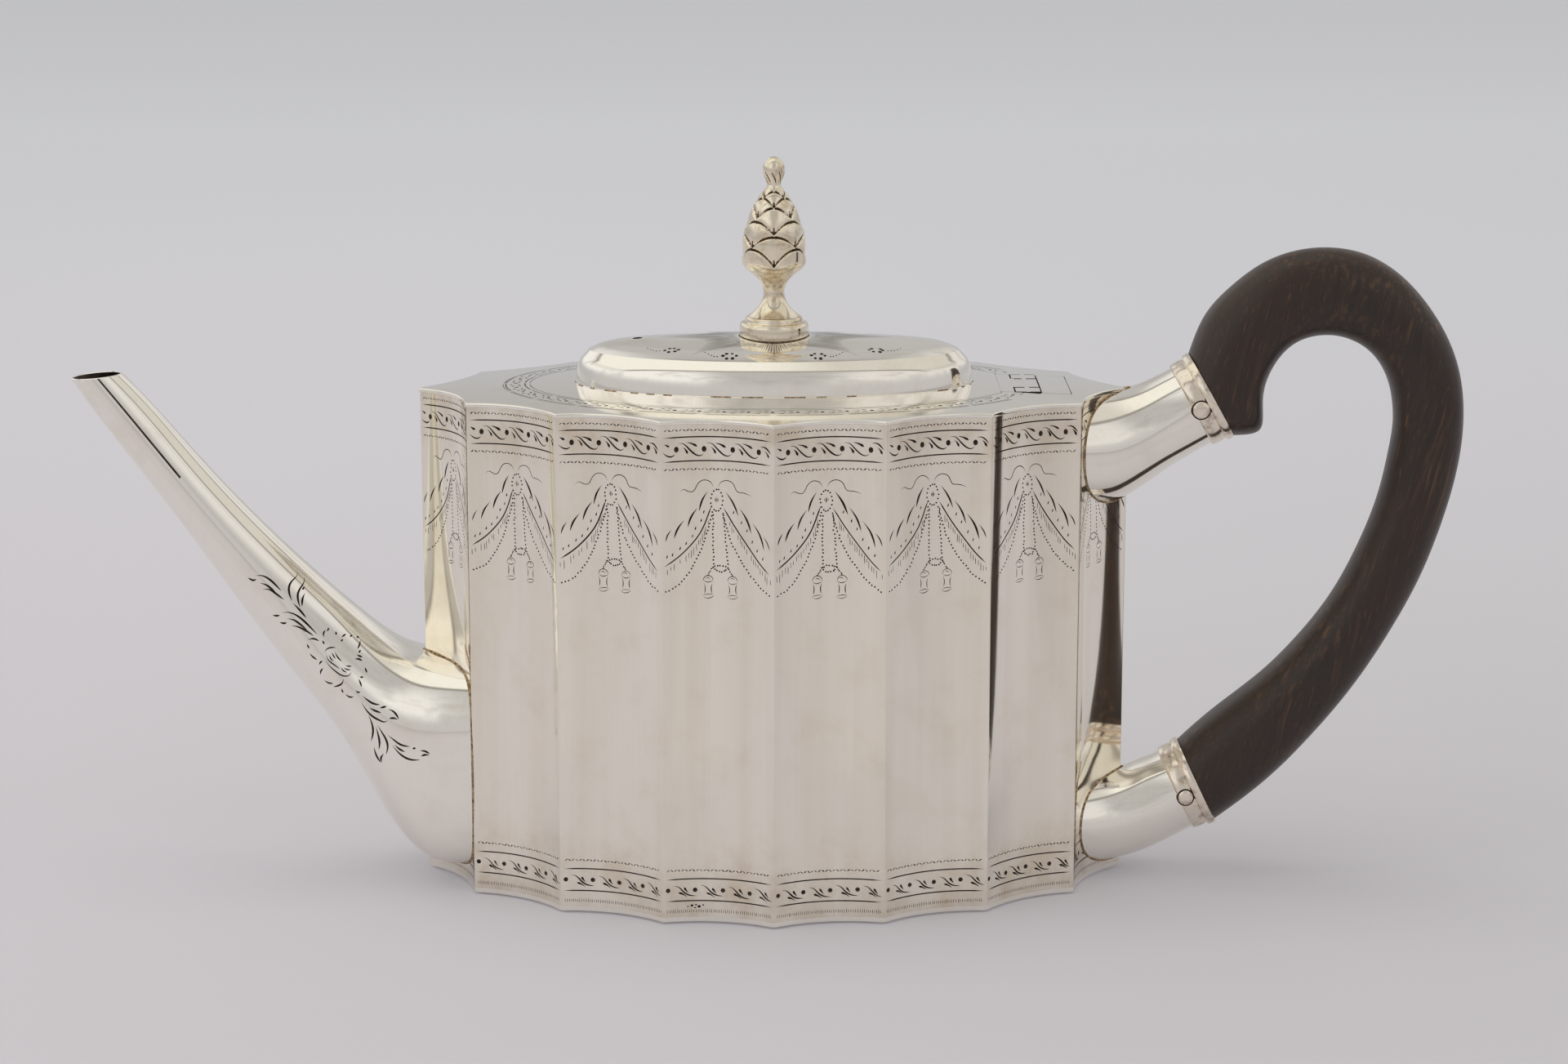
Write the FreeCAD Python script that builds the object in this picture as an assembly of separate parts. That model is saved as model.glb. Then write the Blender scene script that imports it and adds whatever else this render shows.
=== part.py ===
import FreeCAD, Part
import math
import os

# A fluted oval teapot of sheet silver, in millimetres. The origin is the centre of the base,
# +X points to the handle, the spout is at -X and +Z is up.

# Body
body_half_length = 71.5
body_half_width = 41.8
body_height = 100.0
plan_exponent = 1.7
flutes_per_quarter = 4
flute_depth = 2.3
rib_round = 0.4
sheet = 0.9
crown_rise = 1.9
top_overhang = 0.25
solder_gap = 0.05

# How far a cutting shape reaches past what it cuts
spare = 10.0

# Strainer pierced through the wall behind the spout
strainer_hole = 2.4
strainer_pitch = 4.6
strainer_rows = 6
strainer_columns = 4
strainer_lift = 11.0

# Lid
lid_half_length = 49.0
lid_half_width = 29.5
lid_gap = 0.15
rest_ledge = 1.6
rest_land = 2.2
rest_height = 1.1
dome_half_length = 40.0
dome_half_width = 20.0
dome_height = 10.75
dome_shoulder = 12.4
dome_exponent = 2.3
dome_steps = 9
vent_hole = 2.0
vent_place = 27.4

# Hinge, flush with the top
hinge_setback = 1.5
hinge_half_width = 10.4
middle_half_width = 5.1
knuckle_radius = 2.6
hinge_clearance = 0.15
hinge_pin_radius = 1.0
pin_running_gap = 0.04
fixed_leaf_length = 5.75
lid_leaf_length = 2.75
gutter_sheet = 0.6

# Finial
foot_radius = 6.95
foot_height = 2.4
foot_rounding = 0.4
step_radius = 5.6
step_height = 1.5
step_ledge = 0.3
bud_radius = 2.2
bud_height = 6.25
bud_sink = 0.6
stud_radius = 1.4
stud_reach = 4.0
washer_radius = 4.4
washer_thickness = 0.8
nut_width = 6.4
nut_thickness = 2.4
stud_tail = 0.8

# Spout
spout_reach = 69.8
spout_mouth_rise = 2.0
spout_root_lift = 4.8
spout_mouth_length = 10.3
spout_mouth_width = 8.5
spout_root_height = 41.0
spout_mouth_lean = 5.0
spout_root_depth = 14.0
spout_root_fall = 1.2
spout_root_squareness = 3.0
spout_wall = 0.9

# Handle sockets
socket_sheet = 0.9
socket_radius = 8.5
socket_waist = 7.0
socket_flare = 0.5
socket_throat = 3.0
socket_throat_share = 0.84
socket_root_depth = 11.0
upper_rim_reach = 16.5
upper_rim_drop = 1.3
upper_tilt = 29.6
upper_root_growth_height = 5.6
upper_root_growth_width = 10.0
upper_root_drop = 11.7
lower_rim_reach = 15.25
lower_rim_lift = 18.5
lower_tilt = 25.5
lower_root_growth_height = 1.6
lower_root_growth_width = 7.0
lower_root_lift = 11.0
collar_lip = 2.1
collar_band = 2.7
collar_lip_proud = 1.15
collar_band_proud = 0.65

# Handle
tenon_length = 11.0
tenon_gap = 0.1
upper_end_proud = 1.0
lower_end_proud = 0.5
handle_end_proud = 0.5
handle_width = 14.0
handle_swell_stations = 4
handle_drawn_span = 80.2

# Rivets through the sockets
rivet_radius = 1.1
rivet_head_radius = 1.5
rivet_head_height = 0.7
rivet_head_seat = 0.15
rivet_setback = 3.4

Vector = FreeCAD.Vector
up = Vector(0, 0, 1)
depth_axis = Vector(0, 1, 0)


def save(shape, name):
    shape.exportStep("parts/" + name + ".step")


def box(x0, x1, half_y, z0, z1):
    return Part.makeBox(x1 - x0, 2 * half_y, z1 - z0, Vector(x0, -half_y, z0))


# A smooth solid through closed rings of points, capped flat at both ends
def ring(centre, half_height, half_width, rise, squareness=2.0):
    count = 32
    points = []
    for i in range(count):
        turn = 2 * math.pi * i / count - math.pi / 2
        c = math.cos(turn)
        s = math.sin(turn)
        across = math.copysign(abs(c) ** (2 / squareness), c) * half_width
        along = math.copysign(abs(s) ** (2 / squareness), s) * half_height
        points.append(centre + depth_axis * across + rise * along)
    return points


def skin(rings):
    surface = Part.BSplineSurface()
    surface.interpolate([points + points[:1] for points in rings])
    side = surface.toShape()
    caps = [Part.Face(Part.Wire([edge])) for edge in side.Edges if edge.isClosed()]
    faces = Part.makeCompound([side] + caps)
    faces.sewShape()
    return Part.makeSolid(faces.Shells[0])


# Plan of the fluted wall
def quarter_ribs():
    steps = 2000
    curve = []
    for i in range(steps + 1):
        turn = math.pi / 2 * i / steps
        x = body_half_length * math.cos(turn) ** (2 / plan_exponent)
        y = body_half_width * math.sin(turn) ** (2 / plan_exponent)
        curve.append(Vector(x, y, 0))
    run = [0.0]
    for a, b in zip(curve, curve[1:]):
        run.append(run[-1] + a.distanceToPoint(b))
    ribs = []
    for k in range(flutes_per_quarter + 1):
        wanted = run[-1] * k / flutes_per_quarter
        ribs.append(min(zip(run, curve), key=lambda pair: abs(pair[0] - wanted))[1])
    return ribs


def all_ribs():
    quarter = quarter_ribs()
    half = quarter + [Vector(-p.x, p.y, 0) for p in reversed(quarter[:-1])]
    return half + [Vector(p.x, -p.y, 0) for p in reversed(half[1:-1])]


def flute_circles(ribs):
    circles = []
    for a, b in zip(ribs, ribs[1:] + ribs[:1]):
        chord = b - a
        outward = Vector(chord.y, -chord.x, 0).normalize()
        radius = (chord.Length ** 2 / 4 + flute_depth ** 2) / (2 * flute_depth)
        circles.append(((a + b) * 0.5 + outward * (radius - flute_depth), radius, outward))
    return circles


def circles_meet(c1, r1, c2, r2, near):
    between = c2 - c1
    span = between.Length
    along = (r1 ** 2 - r2 ** 2 + span ** 2) / (2 * span)
    across = math.sqrt(r1 ** 2 - along ** 2)
    line = between * (1 / span)
    foot = c1 + line * along
    side = Vector(-line.y, line.x, 0) * across
    return min((foot + side, foot - side), key=near.distanceToPoint)


def direction(start, end):
    return (end - start).normalize()


def plan_wire(inset):
    ribs = all_ribs()
    flutes = flute_circles(ribs)
    count = len(ribs)
    rounding = max(rib_round - inset, 0)
    corners = []
    for i in range(count):
        c1, r1, _ = flutes[i - 1]
        c2, r2, _ = flutes[i]
        grow = inset + rounding
        corners.append(circles_meet(c1, r1 + grow, c2, r2 + grow, ribs[i]))
    edges = []
    for i in range(count):
        centre, radius, outward = flutes[i]
        here = radius + inset
        corner = corners[(i + 1) % count]
        start = centre + direction(centre, corners[i]) * here
        end = centre + direction(centre, corner) * here
        edges.append(Part.Arc(start, centre - outward * here, end).toShape())
        if rounding:
            next_centre, next_radius, _ = flutes[(i + 1) % count]
            next_start = next_centre + direction(next_centre, corner) * (next_radius + inset)
            outwards = (direction(corner, end) + direction(corner, next_start)).normalize()
            edges.append(Part.Arc(end, corner + outwards * rounding, next_start).toShape())
    return Part.Wire(edges)


def plan_prism(inset, z0, z1):
    face = Part.Face(plan_wire(inset))
    face.translate(Vector(0, 0, z0))
    return face.extrude(Vector(0, 0, z1 - z0))


# Everything inside the wall's outer face
def drum():
    return plan_prism(0, -spare, body_height + spare)


def ellipse_prism(half_x, half_y, z0, z1):
    edge = Part.Ellipse(Vector(0, 0, z0), half_x, half_y).toShape()
    return Part.Face(Part.Wire([edge])).extrude(Vector(0, 0, z1 - z0))


# Crown of the top: a paraboloid that meets the rim all round
def crown_height(x, y):
    return body_height + crown_rise * (1 - (x / body_half_length) ** 2 - (y / body_half_width) ** 2)


def crown_face(drop):
    span_x = body_half_length + spare
    span_y = body_half_width + spare
    surface = Part.BezierSurface()
    surface.increase(2, 2)
    bend = (1, -1, 1)
    for i in range(3):
        for j in range(3):
            fall_x = bend[i] * (span_x / body_half_length) ** 2
            fall_y = bend[j] * (span_y / body_half_width) ** 2
            z = body_height - drop + crown_rise * (1 - fall_x - fall_y)
            surface.setPole(i + 1, j + 1, Vector((i - 1) * span_x, (j - 1) * span_y, z))
    return surface.toShape()


def above_crown(drop):
    return crown_face(drop).extrude(up * body_height)


def below_crown(drop):
    return crown_face(drop).extrude(up * -body_height)


def crown_slice(shape, top_drop, bottom_drop):
    return shape.cut(above_crown(top_drop)).cut(below_crown(bottom_drop))


def top_sheet():
    return crown_slice(plan_prism(-top_overhang, body_height - spare, body_height + spare), 0, sheet)


def crown_prism(half_x, half_y):
    return ellipse_prism(half_x, half_y, body_height - spare, body_height + spare)


# Hinge place
hinge_x = lid_half_length + hinge_setback
hinge_z = crown_height(hinge_x, 0) - sheet
slot_half = knuckle_radius + hinge_clearance
lid_leaf_end = hinge_x - slot_half
lid_leaf_start = lid_leaf_end - lid_leaf_length
fixed_leaf_start = hinge_x + slot_half
fixed_leaf_end = fixed_leaf_start + fixed_leaf_length


def barrel(radius, y0, y1):
    return Part.makeCylinder(radius, y1 - y0, Vector(hinge_x, y0, hinge_z), depth_axis)


def hinge_band(x0, x1, half_y):
    return box(x0, x1, half_y, body_height - spare, body_height + spare)


# Spout: sections from the mouth to the root, each hung from the straight lower edge as
# (share of the edge, share of the root's height, lean in degrees, share of the root's width, squareness)
spout_sections = [
    (0.2, 0.263, 39.0, 0.29, 2.0),
    (0.4, 0.328, 41.4, 0.37, 2.1),
    (0.6, 0.441, 43.9, 0.50, 2.2),
    (0.8, 0.624, 69.5, 0.74, 2.6),
    (1.0, 0.990, 85.0, 0.94, spout_root_squareness),
]


def spout_solid(inset):
    mouth = Vector(-body_half_length - spout_reach, 0, body_height + spout_mouth_rise)
    root = Vector(-body_half_length, 0, spout_root_lift)
    root_half_width = quarter_ribs()[1].y + solder_gap
    mouth_section = (0.0, spout_mouth_length / spout_root_height, spout_mouth_lean,
                     spout_mouth_width / 2 / root_half_width, 2.0)
    rings = []
    for share, height, degrees, width, squareness in [mouth_section] + spout_sections:
        low = mouth + (root - mouth) * share
        lean = math.radians(degrees)
        rise = Vector(math.cos(lean), 0, math.sin(lean))
        half_height = height * spout_root_height / 2
        centre = low + rise * half_height
        rings.append(ring(centre, half_height - inset, width * root_half_width - inset, rise, squareness))
    centre = root + Vector(spout_root_depth, 0, spout_root_height / 2 - spout_root_fall)
    half_height = spout_root_height / 2 - inset
    rings.append(ring(centre, half_height, root_half_width - inset, up, spout_root_squareness))
    return skin(rings)


# Sockets: a round tube on a tilted axis that flares to an oval root on the wall
def socket_frame(reach, height, tilt):
    lean = math.radians(tilt)
    rim = Vector(body_half_length + reach, 0, height)
    axis = Vector(math.cos(lean), 0, math.sin(lean))
    return rim, axis


upper_rim, upper_axis = socket_frame(upper_rim_reach, body_height - upper_rim_drop, upper_tilt)
lower_rim, lower_axis = socket_frame(lower_rim_reach, lower_rim_lift, lower_tilt)
collar_length = collar_lip + collar_band
collar_lip_radius = socket_radius + collar_lip_proud
collar_band_radius = socket_radius + collar_band_proud


def socket_solid(rim, axis, root_z, root_height, root_width, inset):
    radius = socket_radius - inset
    square = Vector(-axis.z, 0, axis.x)
    tube_end = rim - axis * collar_length
    tube = Part.makeCylinder(radius, collar_length, tube_end, axis)
    waist = rim - axis * (collar_length + socket_waist)
    waist_rise = (square + up).normalize()
    rings = [
        ring(tube_end, radius - solder_gap, radius - solder_gap, square),
        ring(waist, radius + socket_flare, radius + socket_flare, waist_rise),
    ]
    for setback, share in ((socket_throat, socket_throat_share), (socket_root_depth, 1.0)):
        centre = Vector(body_half_length - setback, 0, root_z)
        rings.append(ring(centre, root_height / 2 - inset, root_width / 2 * share - inset, up))
    return tube.fuse(skin(rings))


def socket(rim, axis, root_z, root_height, root_width, rivet_room):
    outer = socket_solid(rim, axis, root_z, root_height, root_width, 0)
    inner = socket_solid(rim, axis, root_z, root_height, root_width, socket_sheet)
    return outer.cut(inner).cut(drum()).cut(top_sheet()).cut(rivet_room)


def collar(rim, axis, rivet_room):
    square = Vector(-axis.z, 0, axis.x)
    profile = [
        rim + square * socket_radius,
        rim + square * collar_lip_radius,
        rim - axis * collar_lip + square * collar_band_radius,
        rim - axis * collar_length + square * collar_band_radius,
        rim - axis * collar_length + square * socket_radius,
    ]
    face = Part.Face(Part.makePolygon(profile + profile[:1]))
    return face.revolve(rim, axis, 360).cut(rivet_room)


# Rivets run across the handle through the band of each collar
def rivet(rim, axis, clearance):
    centre = rim - axis * rivet_setback
    half = collar_band_radius
    shank = Part.makeCylinder(
        rivet_radius + clearance, 2 * half, centre - depth_axis * half, depth_axis
    )
    for side in (-1, 1):
        way = depth_axis * side
        seat = centre + way * (half - rivet_head_seat)
        shank = shank.fuse(Part.makeCylinder(rivet_head_radius + clearance, rivet_head_height, seat, way))
    return shank


# Handle: outer and inner edges of the curve as (reach past the body's end, height over the lower rim)
handle_stations = [
    ((14.7, 95.8), (26.3, 73.1)),
    ((19.9, 101.9), (26.7, 79.0)),
    ((26.3, 106.7), (28.3, 85.3)),
    ((33.3, 109.3), (33.0, 90.7)),
    ((40.3, 109.9), (39.5, 92.3)),
    ((48.1, 108.7), (44.7, 91.1)),
    ((55.5, 104.9), (48.5, 88.5)),
    ((62.1, 97.9), (51.3, 84.3)),
    ((66.5, 88.5), (52.8, 79.3)),
    ((68.2, 77.5), (53.2, 74.5)),
    ((67.5, 66.0), (52.4, 68.0)),
    ((64.7, 54.3), (50.3, 58.7)),
    ((60.3, 42.5), (46.7, 49.1)),
    ((54.1, 31.8), (41.6, 39.3)),
    ((46.0, 20.0), (34.5, 30.2)),
    ((36.7, 9.5), (26.9, 22.8)),
    ((27.5, 0.3), (17.3, 15.0)),
]


def handle_point(pair):
    stretch = (upper_rim.z - lower_rim.z) / handle_drawn_span
    return Vector(body_half_length + pair[0], 0, lower_rim.z + pair[1] * stretch)


def handle_body():
    square_up = Vector(-upper_axis.z, 0, upper_axis.x)
    square_low = Vector(-lower_axis.z, 0, lower_axis.x)
    end_half = socket_radius + handle_end_proud
    rings = [ring(upper_rim, socket_radius + upper_end_proud, end_half, square_up)]
    last = len(handle_stations) - 1
    for i, (outer, inner) in enumerate(handle_stations):
        far = handle_point(outer)
        near = handle_point(inner)
        swell = max(0, 1 - (min(i, last - i) + 1) / handle_swell_stations)
        half_width = handle_width / 2 + (end_half - handle_width / 2) * swell
        span = far - near
        half_height = span.Length / 2
        rings.append(ring((far + near) * 0.5, half_height, half_width, span.normalize()))
    rings.append(ring(lower_rim, socket_radius + lower_end_proud, end_half, square_low * -1))
    return skin(rings)


def handle(upper_room, lower_room):
    radius = socket_radius - socket_sheet - tenon_gap
    solid = handle_body()
    for rim, axis in ((upper_rim, upper_axis), (lower_rim, lower_axis)):
        solid = solid.fuse(Part.makeCylinder(radius, tenon_length, rim, axis * -1))
    return solid.cut(upper_room).cut(lower_room)


# Body, base and top
def strainer():
    holes = []
    for row in range(strainer_rows):
        shift = strainer_pitch / 2 if row % 2 else 0
        for column in range(strainer_columns):
            y = (column - (strainer_columns - 1) / 2) * strainer_pitch + shift - strainer_pitch / 4
            z = strainer_lift + row * strainer_pitch
            start = Vector(-body_half_length, y, z)
            holes.append(Part.makeCylinder(strainer_hole / 2, body_half_length / 2, start, Vector(1, 0, 0)))
    return Part.makeCompound(holes)


def body_wall():
    top = body_height + spare
    wall = plan_prism(0, sheet, top).cut(plan_prism(sheet, sheet, top))
    return wall.cut(above_crown(sheet)).cut(strainer())


def base_plate():
    return plan_prism(0, 0, sheet)


def lid_opening():
    oval = crown_prism(lid_half_length + lid_gap, lid_half_width + lid_gap)
    oval = oval.cut(hinge_band(lid_leaf_start + lid_gap, body_half_length, body_half_width))
    hinge = hinge_band(lid_leaf_start - spare, fixed_leaf_end + solder_gap, hinge_half_width + lid_gap)
    return oval.fuse(hinge)


def top_plate():
    return top_sheet().cut(lid_opening())


def lid_rest_ring():
    outer = crown_prism(lid_half_length + rest_land, lid_half_width + rest_land)
    inner = crown_prism(lid_half_length - rest_ledge, lid_half_width - rest_ledge)
    ledge = crown_slice(outer.cut(inner), sheet, sheet + rest_height)
    lowered = crown_slice(lid_opening(), 0, sheet + lid_gap)
    gutter_end = hinge_half_width + lid_gap + gutter_sheet + hinge_clearance
    return ledge.cut(lowered).cut(hinge_band(lid_leaf_start, body_half_length, gutter_end))


# Lid
def lid_flange():
    plate = crown_prism(lid_half_length, lid_half_width)
    plate = plate.cut(hinge_band(lid_leaf_start, body_half_length, body_half_width))
    hollow = crown_prism(dome_half_length - sheet, dome_half_width - sheet)
    return crown_slice(plate.cut(hollow), 0, sheet)


def dome_solid(inset):
    rings = []
    for i in range(dome_steps + 1):
        turn = math.pi / 2 * i / dome_steps
        rise = math.sin(turn) ** (2 / dome_exponent) * (dome_height - inset)
        draw_in = dome_shoulder * (1 - math.cos(turn) ** (2 / dome_exponent)) + inset
        centre = Vector(0, 0, body_height + rise)
        rings.append(ring(centre, dome_half_length - draw_in, dome_half_width - draw_in, Vector(1, 0, 0)))
    return skin(rings)


dome_top = body_height + dome_height


def lid_dome():
    shell = dome_solid(0).cut(dome_solid(sheet)).cut(below_crown(0))
    vent = Part.makeCylinder(vent_hole / 2, 2 * dome_height, Vector(-vent_place, 0, body_height), up)
    return shell.cut(vent).cut(stud_room(2 * dome_height))


# Finial, turned about the upright axis
stem_bottom = dome_top + foot_height + step_height


def stud_room(height):
    return Part.makeCylinder(stud_radius + solder_gap, height, Vector(0, 0, body_height), up)


def finial_foot():
    disc = Part.makeCylinder(foot_radius, foot_height, Vector(0, 0, dome_top), up)
    rims = [edge for edge in disc.Edges if edge.isClosed()]
    disc = disc.makeFillet(foot_height * foot_rounding, rims)
    step = Part.makeCylinder(step_radius, step_height, Vector(0, 0, dome_top + foot_height), up)
    return disc.fuse(step).cut(stud_room(stem_bottom))


# Outline of stem and cone as (radius, height over the foot)
cone_outline = [
    (2.75, 2.3),
    (2.2, 4.5),
    (3.5, 7.2),
    (6.25, 12.0),
    (5.85, 17.1),
    (4.4, 21.4),
    (2.65, 24.5),
    (1.3, 26.3),
]


def finial_cone():
    flare = (step_radius - step_ledge, 0)
    curve = Part.BSplineCurve()
    curve.interpolate([Vector(r, 0, stem_bottom + h) for r, h in [flare] + cone_outline])
    top = Vector(0, 0, curve.EndPoint.z)
    bottom = Vector(0, 0, stem_bottom)
    edges = [
        Part.makeLine(bottom, curve.StartPoint),
        curve.toShape(),
        Part.makeLine(curve.EndPoint, top),
        Part.makeLine(top, bottom),
    ]
    cone = Part.Face(Part.Wire(edges)).revolve(Vector(0, 0, 0), up, 360)
    stretch = FreeCAD.Matrix()
    stretch.scale(bud_radius, bud_radius, bud_height / 2)
    bud = Part.makeSphere(1).transformGeometry(stretch)
    bud.translate(top + up * (bud_height / 2 - bud_sink))
    return cone.fuse(bud).cut(stud_room(stem_bottom + stud_reach - body_height))


washer_z = dome_top - sheet - washer_thickness
nut_z = washer_z - nut_thickness


def finial_stud():
    bottom = nut_z - stud_tail
    return Part.makeCylinder(stud_radius, stem_bottom + stud_reach - bottom, Vector(0, 0, bottom), up)


def finial_washer():
    disc = Part.makeCylinder(washer_radius, washer_thickness, Vector(0, 0, washer_z), up)
    return disc.cut(stud_room(dome_height))


def finial_nut():
    half = nut_width / 2
    return box(-half, half, half, nut_z, washer_z).cut(stud_room(dome_height))


# Hinge pieces
def pin_room():
    return barrel(hinge_pin_radius + pin_running_gap, -body_half_width, body_half_width)


def hinge_lid_leaf():
    strip = crown_slice(hinge_band(lid_leaf_start, lid_leaf_end, hinge_half_width), 0, sheet)
    half = middle_half_width - hinge_clearance / 2
    web = crown_slice(hinge_band(lid_leaf_end, hinge_x, half), 0, sheet)
    knuckle = barrel(knuckle_radius, -half, half).cut(above_crown(0))
    return strip.fuse(web).fuse(knuckle).cut(pin_room())


def hinge_fixed_leaf():
    leaf = crown_slice(hinge_band(fixed_leaf_start, fixed_leaf_end, hinge_half_width), 0, sheet)
    inner = middle_half_width + hinge_clearance / 2
    for side in (-1, 1):
        y0, y1 = sorted((side * inner, side * hinge_half_width))
        web = Part.makeBox(slot_half, y1 - y0, 2 * spare, Vector(hinge_x, y0, body_height - spare))
        leaf = leaf.fuse(crown_slice(web, 0, sheet))
        leaf = leaf.fuse(barrel(knuckle_radius, y0, y1).cut(above_crown(0)))
    return leaf.cut(pin_room())


def hinge_gutter():
    hollow = slot_half + hinge_clearance
    end = hinge_half_width + lid_gap
    outer = barrel(hollow + gutter_sheet, -end - gutter_sheet, end + gutter_sheet)
    trough = outer.cut(barrel(hollow, -end, end)).cut(above_crown(sheet))
    lid_side = box(hinge_x - spare, hinge_x, end, hinge_z - hinge_clearance, body_height + spare)
    return trough.cut(lid_side)


def hinge_pin():
    return barrel(hinge_pin_radius, -hinge_half_width, hinge_half_width)


def spout():
    return spout_solid(0).cut(spout_solid(spout_wall)).cut(drum())


def main():
    os.makedirs("parts", exist_ok=True)
    upper_room = rivet(upper_rim, upper_axis, solder_gap)
    lower_room = rivet(lower_rim, lower_axis, solder_gap)
    save(body_wall(), "body_wall")
    save(base_plate(), "base_plate")
    save(top_plate(), "top_plate")
    save(lid_rest_ring(), "lid_rest_ring")
    save(spout(), "spout")
    tube = 2 * socket_radius
    upper = (upper_rim, upper_axis, body_height - upper_root_drop,
             tube + upper_root_growth_height, tube + upper_root_growth_width)
    lower = (lower_rim, lower_axis, lower_root_lift,
             tube + lower_root_growth_height, tube + lower_root_growth_width)
    save(socket(*upper, upper_room), "upper_socket")
    save(socket(*lower, lower_room), "lower_socket")
    save(collar(upper_rim, upper_axis, upper_room), "upper_collar")
    save(collar(lower_rim, lower_axis, lower_room), "lower_collar")
    save(handle(upper_room, lower_room), "handle")
    save(rivet(upper_rim, upper_axis, 0), "upper_pin")
    save(rivet(lower_rim, lower_axis, 0), "lower_pin")
    save(hinge_fixed_leaf(), "hinge_fixed_leaf")
    save(hinge_gutter(), "hinge_gutter")
    save(hinge_pin(), "hinge_pin")
    save(lid_flange(), "lid_flange")
    save(lid_dome(), "lid_dome")
    save(hinge_lid_leaf(), "hinge_lid_leaf")
    save(finial_foot(), "finial_foot")
    save(finial_cone(), "finial_cone")
    save(finial_stud(), "finial_stud")
    save(finial_washer(), "finial_washer")
    save(finial_nut(), "finial_nut")


main()
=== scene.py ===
import bpy
import math
import random
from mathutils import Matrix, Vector
from mathutils.geometry import delaunay_2d_cdt


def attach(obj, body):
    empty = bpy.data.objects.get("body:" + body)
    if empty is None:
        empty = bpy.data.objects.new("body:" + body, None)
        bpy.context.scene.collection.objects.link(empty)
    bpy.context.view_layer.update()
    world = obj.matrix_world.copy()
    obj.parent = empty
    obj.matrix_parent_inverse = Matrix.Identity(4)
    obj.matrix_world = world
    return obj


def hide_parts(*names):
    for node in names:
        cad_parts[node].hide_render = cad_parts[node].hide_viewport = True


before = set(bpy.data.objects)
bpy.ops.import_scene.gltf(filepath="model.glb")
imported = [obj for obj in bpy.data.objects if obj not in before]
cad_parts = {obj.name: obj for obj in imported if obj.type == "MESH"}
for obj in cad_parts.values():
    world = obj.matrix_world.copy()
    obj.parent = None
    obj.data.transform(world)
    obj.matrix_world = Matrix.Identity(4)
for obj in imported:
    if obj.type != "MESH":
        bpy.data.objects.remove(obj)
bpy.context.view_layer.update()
print("frame loaded:", len(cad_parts), "nodes")

# Everything below is drawn in millimetres, in the frame of the CAD model
mm = 0.001
up = Vector((0, 0, 1))


# Even steps from one value to another, both included
def evenly(start, end, steps):
    return [start + (end - start) * k / steps for k in range(steps + 1)]


def turnsOf(count):
    return [2 * math.pi * k / count for k in range(count)]


# Distances along a line of points
def runAlong(points):
    run = [0.0]
    for a, b in zip(points, points[1:]):
        run.append(run[-1] + math.hypot(b[0] - a[0], b[1] - a[1]))
    return run


# Colours and nodes
def toLinear(hexColour):
    channels = []
    for i in (1, 3, 5):
        v = int(hexColour[i:i + 2], 16) / 255
        channels.append(v / 12.92 if v <= 0.04045 else ((v + 0.055) / 1.055) ** 2.4)
    return (*channels, 1.0)


# Inputs go by name, or in the node's own order, and a colour is given as hex
def feed(tree, node, inputs):
    for key, value in inputs.items() if isinstance(inputs, dict) else enumerate(inputs):
        if isinstance(value, bpy.types.NodeSocket):
            tree.links.new(value, node.inputs[key])
        else:
            node.inputs[key].default_value = toLinear(value) if isinstance(value, str) else value


# Stops are (place, colour) on a colour ramp
def addNode(tree, kind, inputs=(), stops=(), **settings):
    node = tree.nodes.new("ShaderNode" + kind)
    for key, value in settings.items():
        setattr(node, key, value)
    if stops:
        elements = node.color_ramp.elements
        for i in (0, -1):
            elements[i].position, elements[i].color = stops[i][0], toLinear(stops[i][1])
        for place, colour in stops[1:-1]:
            elements.new(place).color = toLinear(colour)
    feed(tree, node, inputs)
    return node


# Fine lines or fibres, drawn out along the height, with their width and length in millimetres
def drawnLines(tree, place, width, length, detail, roughness=0.5):
    scale = [1 / (size * mm) for size in (width, width, length)]
    drawn = addNode(tree, "Mapping", {"Vector": place, "Scale": scale}).outputs[0]
    inputs = {"Vector": drawn, "Scale": 1.0, "Detail": detail, "Roughness": roughness}
    return addNode(tree, "TexNoise", inputs).outputs["Fac"]


# One colour gives way to another as a value passes through (from, full) or (from, full, least, most)
def fade(tree, value, span, under, over, kind="LINEAR"):
    share = addNode(tree, "MapRange", [value, *span], interpolation_type=kind).outputs[0]
    return addNode(tree, "Mix", {"Factor": share, "A": under, "B": over}, data_type="RGBA").outputs["Result"]


def newMaterial(name):
    material = bpy.data.materials.new(name)
    material.use_nodes = True
    tree = material.node_tree
    tree.nodes.clear()
    shader = addNode(tree, "BsdfPrincipled")
    addNode(tree, "OutputMaterial", {"Surface": shader.outputs[0]})
    return material, tree, shader, addNode(tree, "TexCoord").outputs["Object"]


# Sterling silver, hammered and planished from sheet, then hand polished: a bright warm mirror, softened
# by fine upright polishing lines, a slow waviness and a thin yellow-brown tarnish that gathers in patches.
# Stains are (from, full, least, most) of their noise.
silverLook = {
    "bright": "#fbf7ef", "tarnish": "#d3bd99", "roughness": (0.05, 0.11), "roughRange": (0.3, 0.7),
    "lineWidth": 0.35, "lineLength": 30.0, "lineDepth": 0.002, "lineStrength": 0.25,
    "lineStain": (0.35, 0.8, 0.0, 0.05), "patch": 9.0, "patchRange": (0.5, 0.72), "wave": 16.0,
    "waveHeight": 0.045, "borderMiddle": 52.0, "borderFrom": 34.0, "borderFull": 46.0,
    "cloudRange": (0.38, 0.62), "bandWidth": 4.5, "bandLength": 160.0, "bandStain": (0.42, 0.66, 0.0, 0.12),
}


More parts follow.
